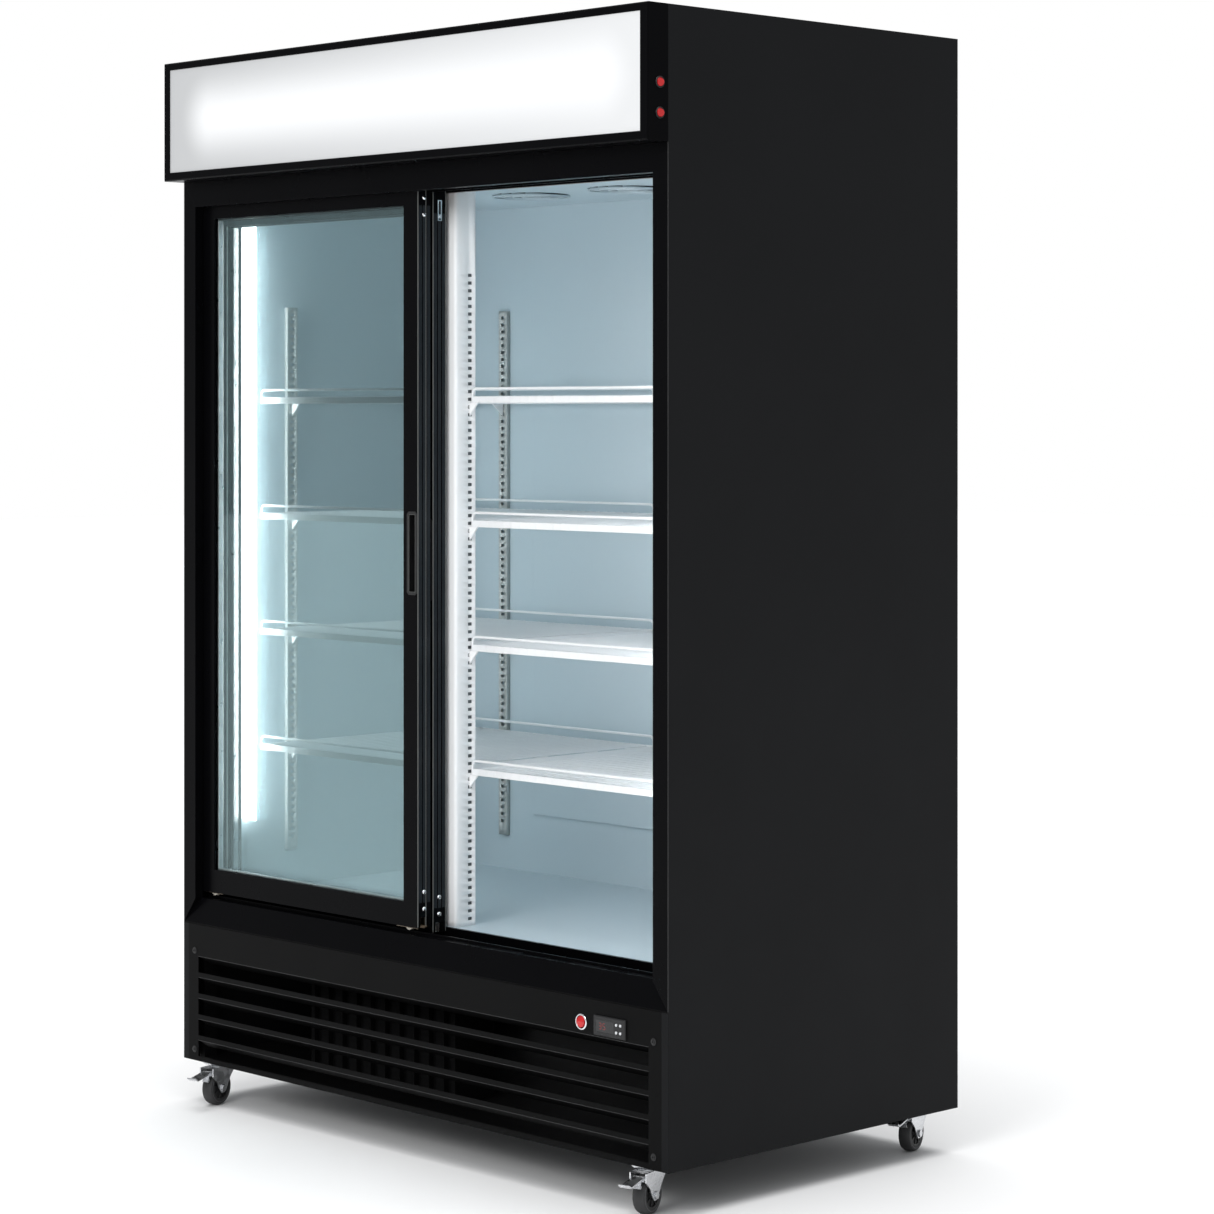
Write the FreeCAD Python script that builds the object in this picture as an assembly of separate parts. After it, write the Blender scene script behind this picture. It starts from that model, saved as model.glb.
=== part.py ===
"""Sliding glass door merchandiser: a two-section upright display refrigerator.

Millimetres, +Z up, floor at Z = 0, origin under the middle of the footprint.
+X is to the right seen from the front, and the front faces -Y.
Both sliding doors stand at the left, so the right section is open.
"""
import FreeCAD
import Part
import math
import os

from FreeCAD import Rotation
from FreeCAD import Vector

# ---- cabinet ----
WIDTH = 1350.0
BODY_DEPTH = 745.0
BODY_HEIGHT = 1950.0
WALL = 60.0
SHEET = 1.2
LINER_SHEET = 1.2
GRILLE_HEIGHT = 267.0
PANEL_SEAM = 2.0
SIDE_FLANGE = 16.0
BACK_FLANGE = 22.0

# ---- lit sign box ----
SIGN_PROUD = 49.0
SIGN_HEIGHT = 230.0
SIGN_BORDER_SIDE = 17.5
SIGN_BORDER_TOP = 14.0
SIGN_BORDER_BOTTOM = 16.0
SIGN_FRAME_THICKNESS = 3.0
SIGN_CORNER = 2.5
SIGN_PANEL_THICKNESS = 3.0
SIGN_PANEL_LAP = 8.0
SIGN_LAMP_RADIUS = 13.0
SIGN_LAMP_SHORT = 35.0
SIGN_LAMP_HOLDER = 20.0

# ---- door frame and its tracks ----
FRAME_BACK_LIP = 7.0
JAMB_WIDTH = 37.0
JAMB_POCKET = 18.0
HEAD_HEIGHT = 49.0
SILL_HEIGHT = 48.0
SILL_SLOPE = 15.0
FRAME_LIP = 18.5
TRACK_CLEARANCE = 3.5
TRACK_DIVIDER = 2.5
HEAD_WEB = 7.0
TRACK_STEP = 13.0
RIB_WIDTH = 3.0
RIB_HEIGHT = 5.0

# ---- sliding doors ----
DOOR_THICKNESS = 30.0
DOOR_OVERLAP = 20.0
DOOR_END_GAP = 3.0
DOOR_FACE_GAP = 1.5
DOOR_LIFT_GAP = 19.0
DOOR_SILL_GAP = 13.0
OUTER_STILE = 50.0
INNER_STILE = 41.0
BOTTOM_RAIL = 45.0
TOP_RAIL = 47.5
GLASS_BITE = 12.0
GLASS_UNIT = 20.0
PANE = 4.0
SPACER_WIDTH = 8.0
SPACER_INSET = 6.0
GLASS_FIT = 0.5
EDGE_RIB = 2.0
EDGE_RIB_DEPTH = 1.0
SEAL_WIDTH = 40.0
SEAL_PROUD = 2.5
HANDLE_WIDTH = 28.0
HANDLE_HEIGHT = 152.0
HANDLE_PROUD = 1.5
HANDLE_CUP_DEPTH = 15.0
HANDLE_RIM = 5.0
HANDLE_WALL = 1.5

# ---- door carriages and rollers ----
CARRIAGE_GROOVE = 20.0
CARRIAGE_GROOVE_DEPTH = 19.0
CARRIAGE_LENGTH = 60.0
CARRIAGE_WIDTH = 17.0
CARRIAGE_CHEEK = 2.0
CARRIAGE_END = 8.0
CARRIAGE_SKIRT = 5.0
ROLLER_RADIUS = 10.0
ROLLER_WIDTH = 9.0
ROLLER_PIN = 2.0
ROLLING_GAP = 0.3
SHAFT_FIT = 0.05
SCREW_RADIUS = 3.5
SCREW_PROUD = 1.5
SCREW_INSETS = (34.0, 65.0)
CATCH_WIDTH = 10.0
CATCH_LENGTH = 38.0
CATCH_THICKNESS = 1.5
CATCH_INSET = 24.0

# ---- interior ----
FLOOR_RISE = 8.0
CEILING_RISE = 19.0
POST_WIDTH = 52.0
POST_DEPTH = 50.0
POST_SHEET = 1.5
POST_CORNER = 6.0
SLOT_PITCH = 14.25
SLOT_HEIGHT = 6.0
SLOT_DEPTH = 10.0
SLOT_BACK_GAP = 13.4
SLOT_START = 13.0
SLOT_END_GAP = 160.0
SLOT_FIRST = 2
SLOT_STEP = 4
SHELVES = 4
CLIP_DROP = 7.5
CLIP_REACH = 22.0
CLIP_HEIGHT = 24.0
CLIP_THICKNESS = 3.0
CLIP_HOOK = 3.0
BACK_CLIP_EXTRA = 6.0
SHELF_END_GAP = 12.0
SHELF_POST_GAP = 2.0
SHELF_FRONT = 132.0
SHELF_BACK_GAP = 15.0
SHELF_BAND = 12.0
SHELF_BAND_THICKNESS = 4.0
DECK_WIRE = 4.0
DECK_PITCH = 40.0
RAIL_WIRE = 5.0
FRONT_RAIL_RISE = 14.5
BACK_RAIL_RISE = 18.0
RAIL_BEND = 10.0
STANDARD_WIDTH = 25.0
STANDARD_DEPTH = 9.0
STANDARD_SHEET = 1.5
STANDARD_FIRST_SLOT = 6
STANDARD_END_SLOTS = 4
SIDE_STANDARD_SETBACK = 216.0
BACK_STANDARD_INSET = 125.0
DUCT_INSET = 215.0
DUCT_PROUD = 6.0
DUCT_LIFT = 120.0
LED_WIDTH = 30.0
LED_DEPTH = 18.0
LED_EDGE = 5.0
LED_WALL_GAP = 8.0
LED_SETBACK = 98.0
LED_LIFT = 141.0
LED_DROP = 57.0

# ---- cooling unit ----
EVAP_FAN_X = 134.0
EVAP_FAN_SETBACK = 430.0
EVAP_HOLE = 72.0
EVAP_BLADE = 66.0
EVAP_GUARD_BARS = 5
GUARD_BAR = 2.5
GUARD_LAP = 4.0
COVER_SHEET = 1.5
COIL_INSET = 165.0
COIL_BACK_GAP = 10.0
COIL_LIFT = 20.0
COIL_HANGER = 3.0
COIL_DEPTH = 120.0
COIL_HEIGHT = 130.0
FIN_GROOVES = 10
COMPRESSOR_RADIUS = 78.0
COMPRESSOR_HEIGHT = 165.0
COMPRESSOR_INSET = 345.0
COMPRESSOR_SETBACK = 267.0
COMPRESSOR_PLATE = (210.0, 150.0, 4.0)
COMPRESSOR_FOOT = 12.0
TERMINAL_BOX = (34.0, 56.0, 60.0)
TERMINAL_LIFT = 44.0
CONDENSER_INSET = 285.0
CONDENSER_SETBACK = 92.0
SHROUD_DEPTH = 50.0
SHROUD_SHEET = 2.0
MOTOR_RADIUS = 32.0
MOTOR_LENGTH = 38.0
MOTOR_GAP = 22.0
MOTOR_ARM = 16.0
MOTOR_ARM_THICKNESS = 3.0
MOTOR_ARM_LAP = 8.0
CONDENSER_WIDTH = 420.0
CONDENSER_DEPTH = 46.0
CONDENSER_HEIGHT = 215.0
FAN_HOLE = 98.0
FAN_BLADE = 92.0
FAN_HUB = 26.0
FAN_DEPTH = 16.0
EVAP_FAN_HUB = 20.0
EVAP_FAN_DEPTH = 14.0
FAN_LIFT = 18.0
BLADES = 5
BLADE_PITCH = 24.0
BLADE_THICKNESS = 2.0
BLADE_CHORD = 0.48

# ---- base and grille ----
BASE_SHEET = 2.0
BASE_POST = 30.0
GRILLE_SHEET = 1.5
GRILLE_BAR = 9.5
GRILLE_PITCH = 41.0
GRILLE_OPENINGS = 5
GRILLE_END = 31.0
LOUVRE_DEPTH = 26.0
LOUVRE_DROP = 15.0
LOUVRE_EDGE = 0.2
GRILLE_SCREW_RADIUS = 6.0
GRILLE_SCREW_INSET = 35.0
GRILLE_SCREW_PROUD = 3.0
GRILLE_SCREW_HEIGHTS = (22.0, 215.0)
VENT_COUNT = 6
VENT_HEIGHT = 9.0
VENT_WIDTH = 420.0
GLAND_RADIUS = 11.0
GLAND_BORE = 5.0
GLAND_DEPTH = 10.0
GLAND_FLANGE = 15.0

# ---- controls ----
POWER_INSET = 211.0
CONTROL_Z = 225.0
POWER_BEZEL = 14.0
POWER_BARREL = 12.0
CONTROLLER_INSET = 139.0
CONTROLLER_WIDTH = 78.0
CONTROLLER_HEIGHT = 34.5
CONTROLLER_BODY_WIDTH = 71.0
CONTROLLER_BODY_HEIGHT = 29.0
CONTROLLER_BODY_DEPTH = 58.0
CONTROLLER_PROUD = 4.0
CONTROLLER_CHAMFER = 1.5
DISPLAY_WIDTH = 43.0
DISPLAY_HEIGHT = 20.0
DISPLAY_DEPTH = 0.6
DISPLAY_INSET = 7.0
BUTTON_SIZE = 5.0
BUTTON_PROUD = 1.2
BUTTON_GAP = 0.3
BUTTON_X = 23.0
BUTTON_SPACING_X = 10.0
BUTTON_SPACING_Z = 13.0
LIGHT_BEZEL = 10.0
LIGHT_BARREL = 9.7
LIGHT_SWITCH_SETBACK = 20.0
LIGHT_SWITCH_LIFTS = {"upper": 98.0, "lower": 47.0}
BEZEL_PROUD = 2.0
BEZEL_WALL = 1.1
BEZEL_BARREL_DEPTH = 10.0
ROCKER_GAP = 0.9
ROCKER_TILT = 8.0
ROCKER_BACK = 8.0
ROCKER_EDGE = 1.5
ROCKER_RIDGE = 3.2
ROCKER_PIVOT = 3.0
HOLE_FIT = 0.3

# ---- casters ----
CASTER_INSET = 75.0
CASTER_FRONT_SETBACK = 38.0
CASTER_BACK_SETBACK = 30.0
CASTER_PLATE = 60.0
CASTER_PLATE_THICKNESS = 3.0
RACE_HEIGHT = 4.0
PLATE_CORNER = 7.0
PLATE_BOLT = 5.0
PLATE_BOLT_INSET = 9.0
PLATE_BOLT_DROP = 2.5
KINGPIN = 5.0
KINGPIN_NUT = 8.0
KINGPIN_NUT_DROP = 2.5
CASTER_TRAIL = 20.0
CASTER_HEADING = -73.7
WHEEL_RADIUS = 33.5
WHEEL_WIDTH = 24.0
HUB_BOSS = 9.0
AXLE_NUT = 7.0
AXLE_NUT_THICKNESS = 3.5
AXLE_RADIUS = 4.0
FORK_LEG = 2.5
FORK_GAP = 2.0
FORK_WHEEL_GAP = 5.0
FORK_TOP_THICKNESS = 3.0
FORK_NOSE = 19.0
PIVOT_PIN = 2.5
PIVOT_BARREL = 5.0
PEDAL_TREAD_GAP = 7.6
PEDAL_ANGLE = 49.0
PEDAL_REACH = 52.0
PEDAL_THICKNESS = 2.5
PEDAL_WIDTH = 22.0
PEDAL_LIP = 6.0
PEDAL_DROP = 4.0
PIVOT_DROP = 0.5
SHOE_INSET = 4.0
SHOE_BACK = 2.0
SHOE_FRONT = 6.0
SHOE_TIP = 10.0
SHOE_DROP = 15.0

# ---- planes worked out from the sizes above ----
HALF = WIDTH / 2
FORK_LOW = 2 * WHEEL_RADIUS + FORK_WHEEL_GAP
FORK_TOP = FORK_LOW + FORK_TOP_THICKNESS
CASTER_HEIGHT = FORK_TOP + RACE_HEIGHT + CASTER_PLATE_THICKNESS
TRACK_WIDTH = DOOR_THICKNESS + TRACK_CLEARANCE
FRAME_DEPTH = FRAME_LIP + 2 * TRACK_WIDTH + TRACK_DIVIDER + FRAME_BACK_LIP
FRONT = -(BODY_DEPTH - SIGN_PROUD) / 2
BACK = FRONT + BODY_DEPTH
BASE = CASTER_HEIGHT
TOP = BASE + BODY_HEIGHT
SIGN_BOTTOM = TOP - SIGN_HEIGHT
HEAD_BOTTOM = SIGN_BOTTOM - HEAD_HEIGHT
SILL_BOTTOM = BASE + GRILLE_HEIGHT + PANEL_SEAM
SILL_TOP = SILL_BOTTOM + SILL_HEIGHT
FLOOR = SILL_TOP + FLOOR_RISE
CEILING = HEAD_BOTTOM + CEILING_RISE
SHELL_X = HALF - SHEET
ROOM_X = HALF - WALL
LINER_X = ROOM_X + LINER_SHEET
FRAME_BACK = FRONT + FRAME_DEPTH
BACK_SKIN = BACK - 2 * SHEET
ROOM_BACK = BACK - WALL
LINER_BACK = ROOM_BACK + LINER_SHEET
ROOM_TOP = TOP - WALL
DUCT_FACE = ROOM_BACK - DUCT_PROUD
JAMB_X = SHELL_X - JAMB_WIDTH + SHEET
TRACK_FRONT = FRONT + FRAME_LIP
TRACK_REAR = TRACK_FRONT + TRACK_WIDTH + TRACK_DIVIDER
DOOR_LEFT = -(JAMB_X + JAMB_POCKET - DOOR_END_GAP)
DOOR_WIDTH = -DOOR_LEFT + DOOR_OVERLAP / 2
DOOR_RIGHT = DOOR_LEFT + DOOR_WIDTH
DOOR_BOTTOM = SILL_TOP + DOOR_SILL_GAP
DOOR_HEIGHT = SIGN_BOTTOM - HEAD_WEB - DOOR_LIFT_GAP - DOOR_BOTTOM
FIRST_SLOT = FLOOR + SLOT_START
SLOT_COUNT = int((CEILING - SLOT_END_GAP - FIRST_SLOT) // SLOT_PITCH) + 1
SHELF_STEP = SLOT_STEP * int(SLOT_COUNT / (SHELVES + 1) / SLOT_STEP)
SHELF_SLOTS = [SLOT_FIRST + SHELF_STEP * (shelf + 1) for shelf in range(SHELVES)]
SLOT_Y = FRAME_BACK + POST_DEPTH - SLOT_BACK_GAP
POST_X = POST_WIDTH / 2
SHELF_FRONT_Y = FRONT + SHELF_FRONT
SHELF_BACK_Y = DUCT_FACE - SHELF_BACK_GAP
SHELF_OUTER = ROOM_X - SHELF_END_GAP
SHELF_INNER = POST_X + SHELF_POST_GAP
GRILLE_X = HALF - SIDE_FLANGE
PAN_TOP = BASE + BASE_SHEET
BACK_STANDARD_X = ROOM_X - BACK_STANDARD_INSET
DUCT_X = ROOM_X - DUCT_INSET
COIL_X = ROOM_X - COIL_INSET
CONDENSER_X = -HALF + CONDENSER_INSET
CONDENSER_Y = FRONT + CONDENSER_SETBACK
CONDENSER_TOP = PAN_TOP + CONDENSER_HEIGHT
FAN_X = CONDENSER_X + CONDENSER_WIDTH / 2
SHROUD_Y = CONDENSER_Y + CONDENSER_DEPTH + SHROUD_DEPTH
CONDENSER_FAN_Y = SHROUD_Y - FAN_DEPTH / 2 - SHROUD_SHEET
COMPRESSOR_X = HALF - COMPRESSOR_INSET
COMPRESSOR_Y = BACK - COMPRESSOR_SETBACK
EVAP_FAN_Y = FRONT + EVAP_FAN_SETBACK
POWER_X = HALF - POWER_INSET
CONTROLLER_X = HALF - CONTROLLER_INSET
CONTROL_PLANE = BASE + CONTROL_Z
CONTROLLER_FACE = FRONT - CONTROLLER_PROUD
CASTER_X = HALF - CASTER_INSET
LEG_IN = WHEEL_WIDTH / 2 + FORK_GAP
LEG_OUT = LEG_IN + FORK_LEG
PEDAL_ARM = WHEEL_RADIUS + PEDAL_TREAD_GAP
PEDAL_X = CASTER_TRAIL + PEDAL_ARM * math.cos(math.radians(PEDAL_ANGLE))
PEDAL_Z = WHEEL_RADIUS + PEDAL_ARM * math.sin(math.radians(PEDAL_ANGLE))

# Which door runs in which track: its name, front face, drop below the front door and seal.
DOORS = (
    ("front_door", TRACK_FRONT + DOOR_FACE_GAP, 0.0, False),
    ("rear_door", TRACK_REAR + DOOR_FACE_GAP, TRACK_STEP, True),
)
CASTERS = (
    ("front_left", -CASTER_X, FRONT + CASTER_FRONT_SETBACK),
    ("front_right", CASTER_X, FRONT + CASTER_FRONT_SETBACK),
    ("rear_left", -CASTER_X, BACK - CASTER_BACK_SETBACK),
    ("rear_right", CASTER_X, BACK - CASTER_BACK_SETBACK),
)


# ---- small helpers ----
def block(x0, x1, y0, y1, z0, z1):
    """Box between two corners."""
    return Part.makeBox(x1 - x0, y1 - y0, z1 - z0, Vector(x0, y0, z0))


def drum(centre, direction, radius, length):
    """Cylinder that starts at centre and runs along direction."""
    return Part.makeCylinder(radius, length, Vector(*centre), Vector(*direction))


def face_of(points):
    """Plane face with straight sides through the points."""
    corners = [Vector(*point) for point in points]
    return Part.Face(Part.makePolygon(corners + corners[:1]))


def prism_x(outline, x0, x1):
    """Extrude a (y, z) outline along X."""
    return face_of([(x0, y, z) for y, z in outline]).extrude(Vector(x1 - x0, 0, 0))


def prism_y(outline, y0, y1):
    """Extrude an (x, z) outline along Y."""
    return face_of([(x, y0, z) for x, z in outline]).extrude(Vector(0, y1 - y0, 0))


def prism_z(outline, z0, z1):
    """Extrude an (x, y) outline along Z."""
    return face_of([(x, y, z0) for x, y in outline]).extrude(Vector(0, 0, z1 - z0))


def corners_around(radius, sides):
    """Corners of a regular polygon around the origin."""
    angles = [2 * math.pi * corner / sides for corner in range(sides)]
    return [(radius * math.cos(angle), radius * math.sin(angle)) for angle in angles]


def polygon(x, z, radius, y0, y1, sides=6):
    """Prism with a regular outline along Y."""
    return prism_y([(x + across, z + up) for across, up in corners_around(radius, sides)], y0, y1)


def upright_polygon(x, y, radius, z0, z1, sides=6):
    """Prism with a regular outline along Z."""
    return prism_z([(x + across, y + up) for across, up in corners_around(radius, sides)], z0, z1)


def fuse(shapes):
    """One solid from overlapping or touching shapes."""
    joined = shapes[0].multiFuse(shapes[1:]) if len(shapes) > 1 else shapes[0]
    return joined.removeSplitter()


def mirror_x(shape):
    """Copy of a shape on the other side of the middle plane."""
    return shape.mirror(Vector(0, 0, 0), Vector(1, 0, 0))


def slot_z(number):
    """Height of the middle of a support slot."""
    return FIRST_SLOT + number * SLOT_PITCH


def shelf_deck(number):
    """Top of the shelf that hangs from a slot."""
    return slot_z(number) + CLIP_DROP + SHELF_BAND


def save(name, shapes):
    """Write one sub-part, which may be a group of separate solids."""
    shape = shapes[0] if len(shapes) == 1 else Part.makeCompound(shapes)
    shape.exportStep("parts/" + name + ".step")


# ---- outer shell ----
def side_panel():
    """Right-hand outer skin with its front and back return flanges."""
    skin = block(SHELL_X, HALF, FRONT, BACK, BASE, TOP)
    front = block(HALF - SIDE_FLANGE, HALF, FRONT, FRONT + SHEET, BASE, SILL_BOTTOM - PANEL_SEAM)
    back = block(HALF - BACK_FLANGE, HALF, BACK - SHEET, BACK, BASE, TOP)
    return fuse([skin, front, back])


def back_panel():
    """Back skin, louvred low down where the cooling unit breathes, with the cable hole."""
    skin = block(-SHELL_X, SHELL_X, BACK_SKIN, BACK - SHEET, BASE, TOP - SHEET)
    cuts = [drum((gland_x(), BACK_SKIN - 1, gland_z()), (0, 1, 0), GLAND_RADIUS, 2 * SHEET + 1)]
    pitch = (GRILLE_HEIGHT - 2 * VENT_HEIGHT) / (VENT_COUNT + 1)
    for side in (-1, 1):
        middle = side * (VENT_WIDTH / 2 + WALL)
        for row in range(VENT_COUNT):
            low = BASE + pitch * (row + 1)
            x0 = middle - VENT_WIDTH / 2
            cuts.append(block(x0, x0 + VENT_WIDTH, BACK_SKIN - 1, BACK, low, low + VENT_HEIGHT))
    return skin.cut(Part.makeCompound(cuts))


def gland_x():
    """Cable gland, in the plain strip at the right of the vents."""
    return VENT_WIDTH + 2 * WALL + GLAND_RADIUS


def gland_z():
    """Height of the cable gland."""
    return BASE + GRILLE_HEIGHT / 3


def cable_gland():
    """Moulded bush where the supply cord would enter."""
    place = (gland_x(), BACK_SKIN - GLAND_DEPTH, gland_z())
    barrel = polygon(gland_x(), gland_z(), GLAND_RADIUS - HOLE_FIT, BACK_SKIN - GLAND_DEPTH, BACK)
    flange = polygon(gland_x(), gland_z(), GLAND_FLANGE, BACK - SHEET, BACK)
    bore = drum(place, (0, 1, 0), GLAND_BORE, GLAND_DEPTH + 2 * SHEET)
    return fuse([barrel, flange]).cut(bore)


def top_panel():
    """Flat roof skin."""
    return block(-SHELL_X, SHELL_X, FRONT, BACK_SKIN, TOP - SHEET, TOP)


def insulation():
    """Foam boards between the skins and the liner."""
    start = FRAME_BACK + LINER_SHEET
    roof = TOP - SHEET
    left = block(-SHELL_X, -LINER_X, start, BACK_SKIN, SILL_BOTTOM, roof)
    back = block(-LINER_X, LINER_X, LINER_BACK, BACK_SKIN, SILL_BOTTOM, roof)
    floor = block(-LINER_X, LINER_X, start, LINER_BACK, SILL_BOTTOM, FLOOR - LINER_SHEET)
    top = block(-LINER_X, LINER_X, start, LINER_BACK, ROOM_TOP + LINER_SHEET, roof)
    front = block(-SHELL_X, SHELL_X, FRONT, FRAME_BACK, SIGN_BOTTOM, roof)
    return [left, mirror_x(left), back, floor, top, front]


def inner_liner():
    """Inner lining with its front flange between the foam and the door frame."""
    outer = block(-LINER_X, LINER_X, FRAME_BACK, LINER_BACK, FLOOR - LINER_SHEET,
                  ROOM_TOP + LINER_SHEET)
    flange = block(-SHELL_X, SHELL_X, FRAME_BACK, FRAME_BACK + LINER_SHEET, SILL_BOTTOM,
                   TOP - SHEET)
    inside = block(-ROOM_X, ROOM_X, FRAME_BACK + LINER_SHEET, ROOM_BACK, FLOOR, ROOM_TOP)
    mouth = block(-ROOM_X, ROOM_X, FRAME_BACK - 1, ROOM_BACK, FLOOR, CEILING)
    return fuse([outer, flange]).cut(inside).cut(mouth)


def base_frame():
    """Base pan, four corner posts and the deck under the insulated box."""
    y0 = FRONT + LOUVRE_DEPTH + SHEET
    y1 = BACK_SKIN
    pan = block(-SHELL_X, SHELL_X, y0, y1, BASE, BASE + BASE_SHEET)
    deck = block(-SHELL_X, SHELL_X, y0, y1, SILL_BOTTOM - BASE_SHEET, SILL_BOTTOM)
    posts = []
    for x0 in (-SHELL_X, SHELL_X - BASE_POST):
        for start in (y0, y1 - BASE_POST):
            posts.append(block(x0, x0 + BASE_POST, start, start + BASE_POST,
                               BASE + BASE_SHEET, SILL_BOTTOM - BASE_SHEET))
    front_bar = block(-SHELL_X, SHELL_X, FRONT + GRILLE_SHEET, y0, SILL_BOTTOM - BASE_SHEET,
                      SILL_BOTTOM)
    return [pan, deck, front_bar] + posts


# ---- sign box ----
def sign_housing():
    """Sheet box with the picture-frame front that holds the sign panel."""
    front = FRONT - SIGN_PROUD
    shell = block(-HALF, HALF, front, FRONT, SIGN_BOTTOM, TOP)
    hollow = block(-HALF + SHEET, HALF - SHEET, front + SIGN_FRAME_THICKNESS, FRONT - SHEET,
                   SIGN_BOTTOM + SHEET, TOP - SHEET)
    window = block(-HALF + SIGN_BORDER_SIDE, HALF - SIGN_BORDER_SIDE, front - 1,
                   front + SIGN_FRAME_THICKNESS + 1, SIGN_BOTTOM + SIGN_BORDER_BOTTOM,
                   TOP - SIGN_BORDER_TOP)
    edges = [edge for edge in shell.Edges if at_front(edge, front)]
    holes = [drum((HALF - SIGN_CORNER, FRONT - LIGHT_SWITCH_SETBACK, SIGN_BOTTOM + lift), (1, 0, 0),
                  LIGHT_BARREL + HOLE_FIT, 2 * SIGN_CORNER) for lift in LIGHT_SWITCH_LIFTS.values()]
    eased = shell.makeChamfer(SIGN_CORNER, edges)
    return eased.cut(hollow).cut(window).cut(Part.makeCompound(holes))


def at_front(edge, y):
    """Whether an edge lies in the plane at y."""
    return all(abs(vertex.Point.y - y) < 0.01 for vertex in edge.Vertexes)


def sign_panel():
    """Translucent panel behind the frame."""
    back_of_lip = FRONT - SIGN_PROUD + SIGN_FRAME_THICKNESS
    return block(-HALF + SIGN_BORDER_SIDE - SIGN_PANEL_LAP, HALF - SIGN_BORDER_SIDE + SIGN_PANEL_LAP,
                 back_of_lip, back_of_lip + SIGN_PANEL_THICKNESS,
                 SIGN_BOTTOM + SIGN_BORDER_BOTTOM - SIGN_PANEL_LAP,
                 TOP - SIGN_BORDER_TOP + SIGN_PANEL_LAP)


def sign_lamp():
    """Tube behind the sign panel with its two end holders."""
    y = FRONT - SIGN_PROUD / 2 + SIGN_PANEL_THICKNESS
    z = (SIGN_BOTTOM + TOP) / 2
    end = HALF - SIGN_BORDER_SIDE - SIGN_LAMP_SHORT
    tube = drum((-end, y, z), (1, 0, 0), SIGN_LAMP_RADIUS, 2 * end)
    reach = SIGN_LAMP_RADIUS + SIGN_PANEL_THICKNESS
    holders = [block(x, x + SIGN_LAMP_HOLDER, y - reach + 1, FRONT - SHEET, z - reach, z + reach)
               for x in (-end - SIGN_LAMP_HOLDER, end)]
    return fuse([tube] + holders)


def corner_lamp():
    """Right-hand strip lamp in the front corner, with its face turned to the shelves."""
    x1 = ROOM_X
    x0 = ROOM_X - LED_WALL_GAP - LED_WIDTH
    y0 = FRONT + LED_SETBACK
    y1 = y0 + LED_DEPTH
    outline = [(x1, y0), (x1, y1), (x1 - LED_WALL_GAP, y1), (x0, y0 + LED_EDGE), (x0, y0)]
    return prism_z(outline, FLOOR + LED_LIFT, CEILING - LED_DROP)


# ---- door frame ----
def head_profile():
    """(y, z) outline of the head with two guide channels open downwards."""
    top = SIGN_BOTTOM
    low = HEAD_BOTTOM
    web = top - HEAD_WEB
    f1 = TRACK_FRONT
    f2 = TRACK_FRONT + TRACK_WIDTH
    r1 = TRACK_REAR
    r2 = TRACK_REAR + TRACK_WIDTH
    return [(FRONT, low), (f1, low), (f1, web), (f2, web), (f2, low), (r1, low), (r1, web),
            (r2, web), (r2, low), (FRAME_BACK, low), (FRAME_BACK, top), (FRONT, top)]


def sill_profile():
    """(y, z) outline of the stepped sill with a rib for each door's rollers."""
    rear_top = SILL_TOP - TRACK_STEP
    step = TRACK_REAR - TRACK_DIVIDER / 2
    lip = TRACK_REAR + TRACK_WIDTH
    front_rib = rib_y(TRACK_FRONT)
    rear_rib = rib_y(TRACK_REAR)
    half = RIB_WIDTH / 2
    return [(FRONT, SILL_BOTTOM), (FRONT + SILL_SLOPE, SILL_TOP),
            (front_rib - half, SILL_TOP), (front_rib - half, SILL_TOP + RIB_HEIGHT),
            (front_rib + half, SILL_TOP + RIB_HEIGHT), (front_rib + half, SILL_TOP),
            (step, SILL_TOP), (step, rear_top),
            (rear_rib - half, rear_top), (rear_rib - half, rear_top + RIB_HEIGHT),
            (rear_rib + half, rear_top + RIB_HEIGHT), (rear_rib + half, rear_top),
            (lip, rear_top), (lip, FLOOR), (FRAME_BACK, FLOOR), (FRAME_BACK, SILL_BOTTOM)]


def rib_y(track):
    """Middle of a door, which is where its rib and rollers run."""
    return track + DOOR_FACE_GAP + DOOR_THICKNESS / 2


def jamb_profile():
    """(x, y) outline of the right jamb with the pocket that a closed door enters."""
    deep = JAMB_X + JAMB_POCKET
    back = TRACK_REAR + TRACK_WIDTH
    return [(JAMB_X, FRONT), (SHELL_X, FRONT), (SHELL_X, FRAME_BACK), (JAMB_X, FRAME_BACK),
            (JAMB_X, back), (deep, back), (deep, TRACK_FRONT), (JAMB_X, TRACK_FRONT)]


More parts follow.
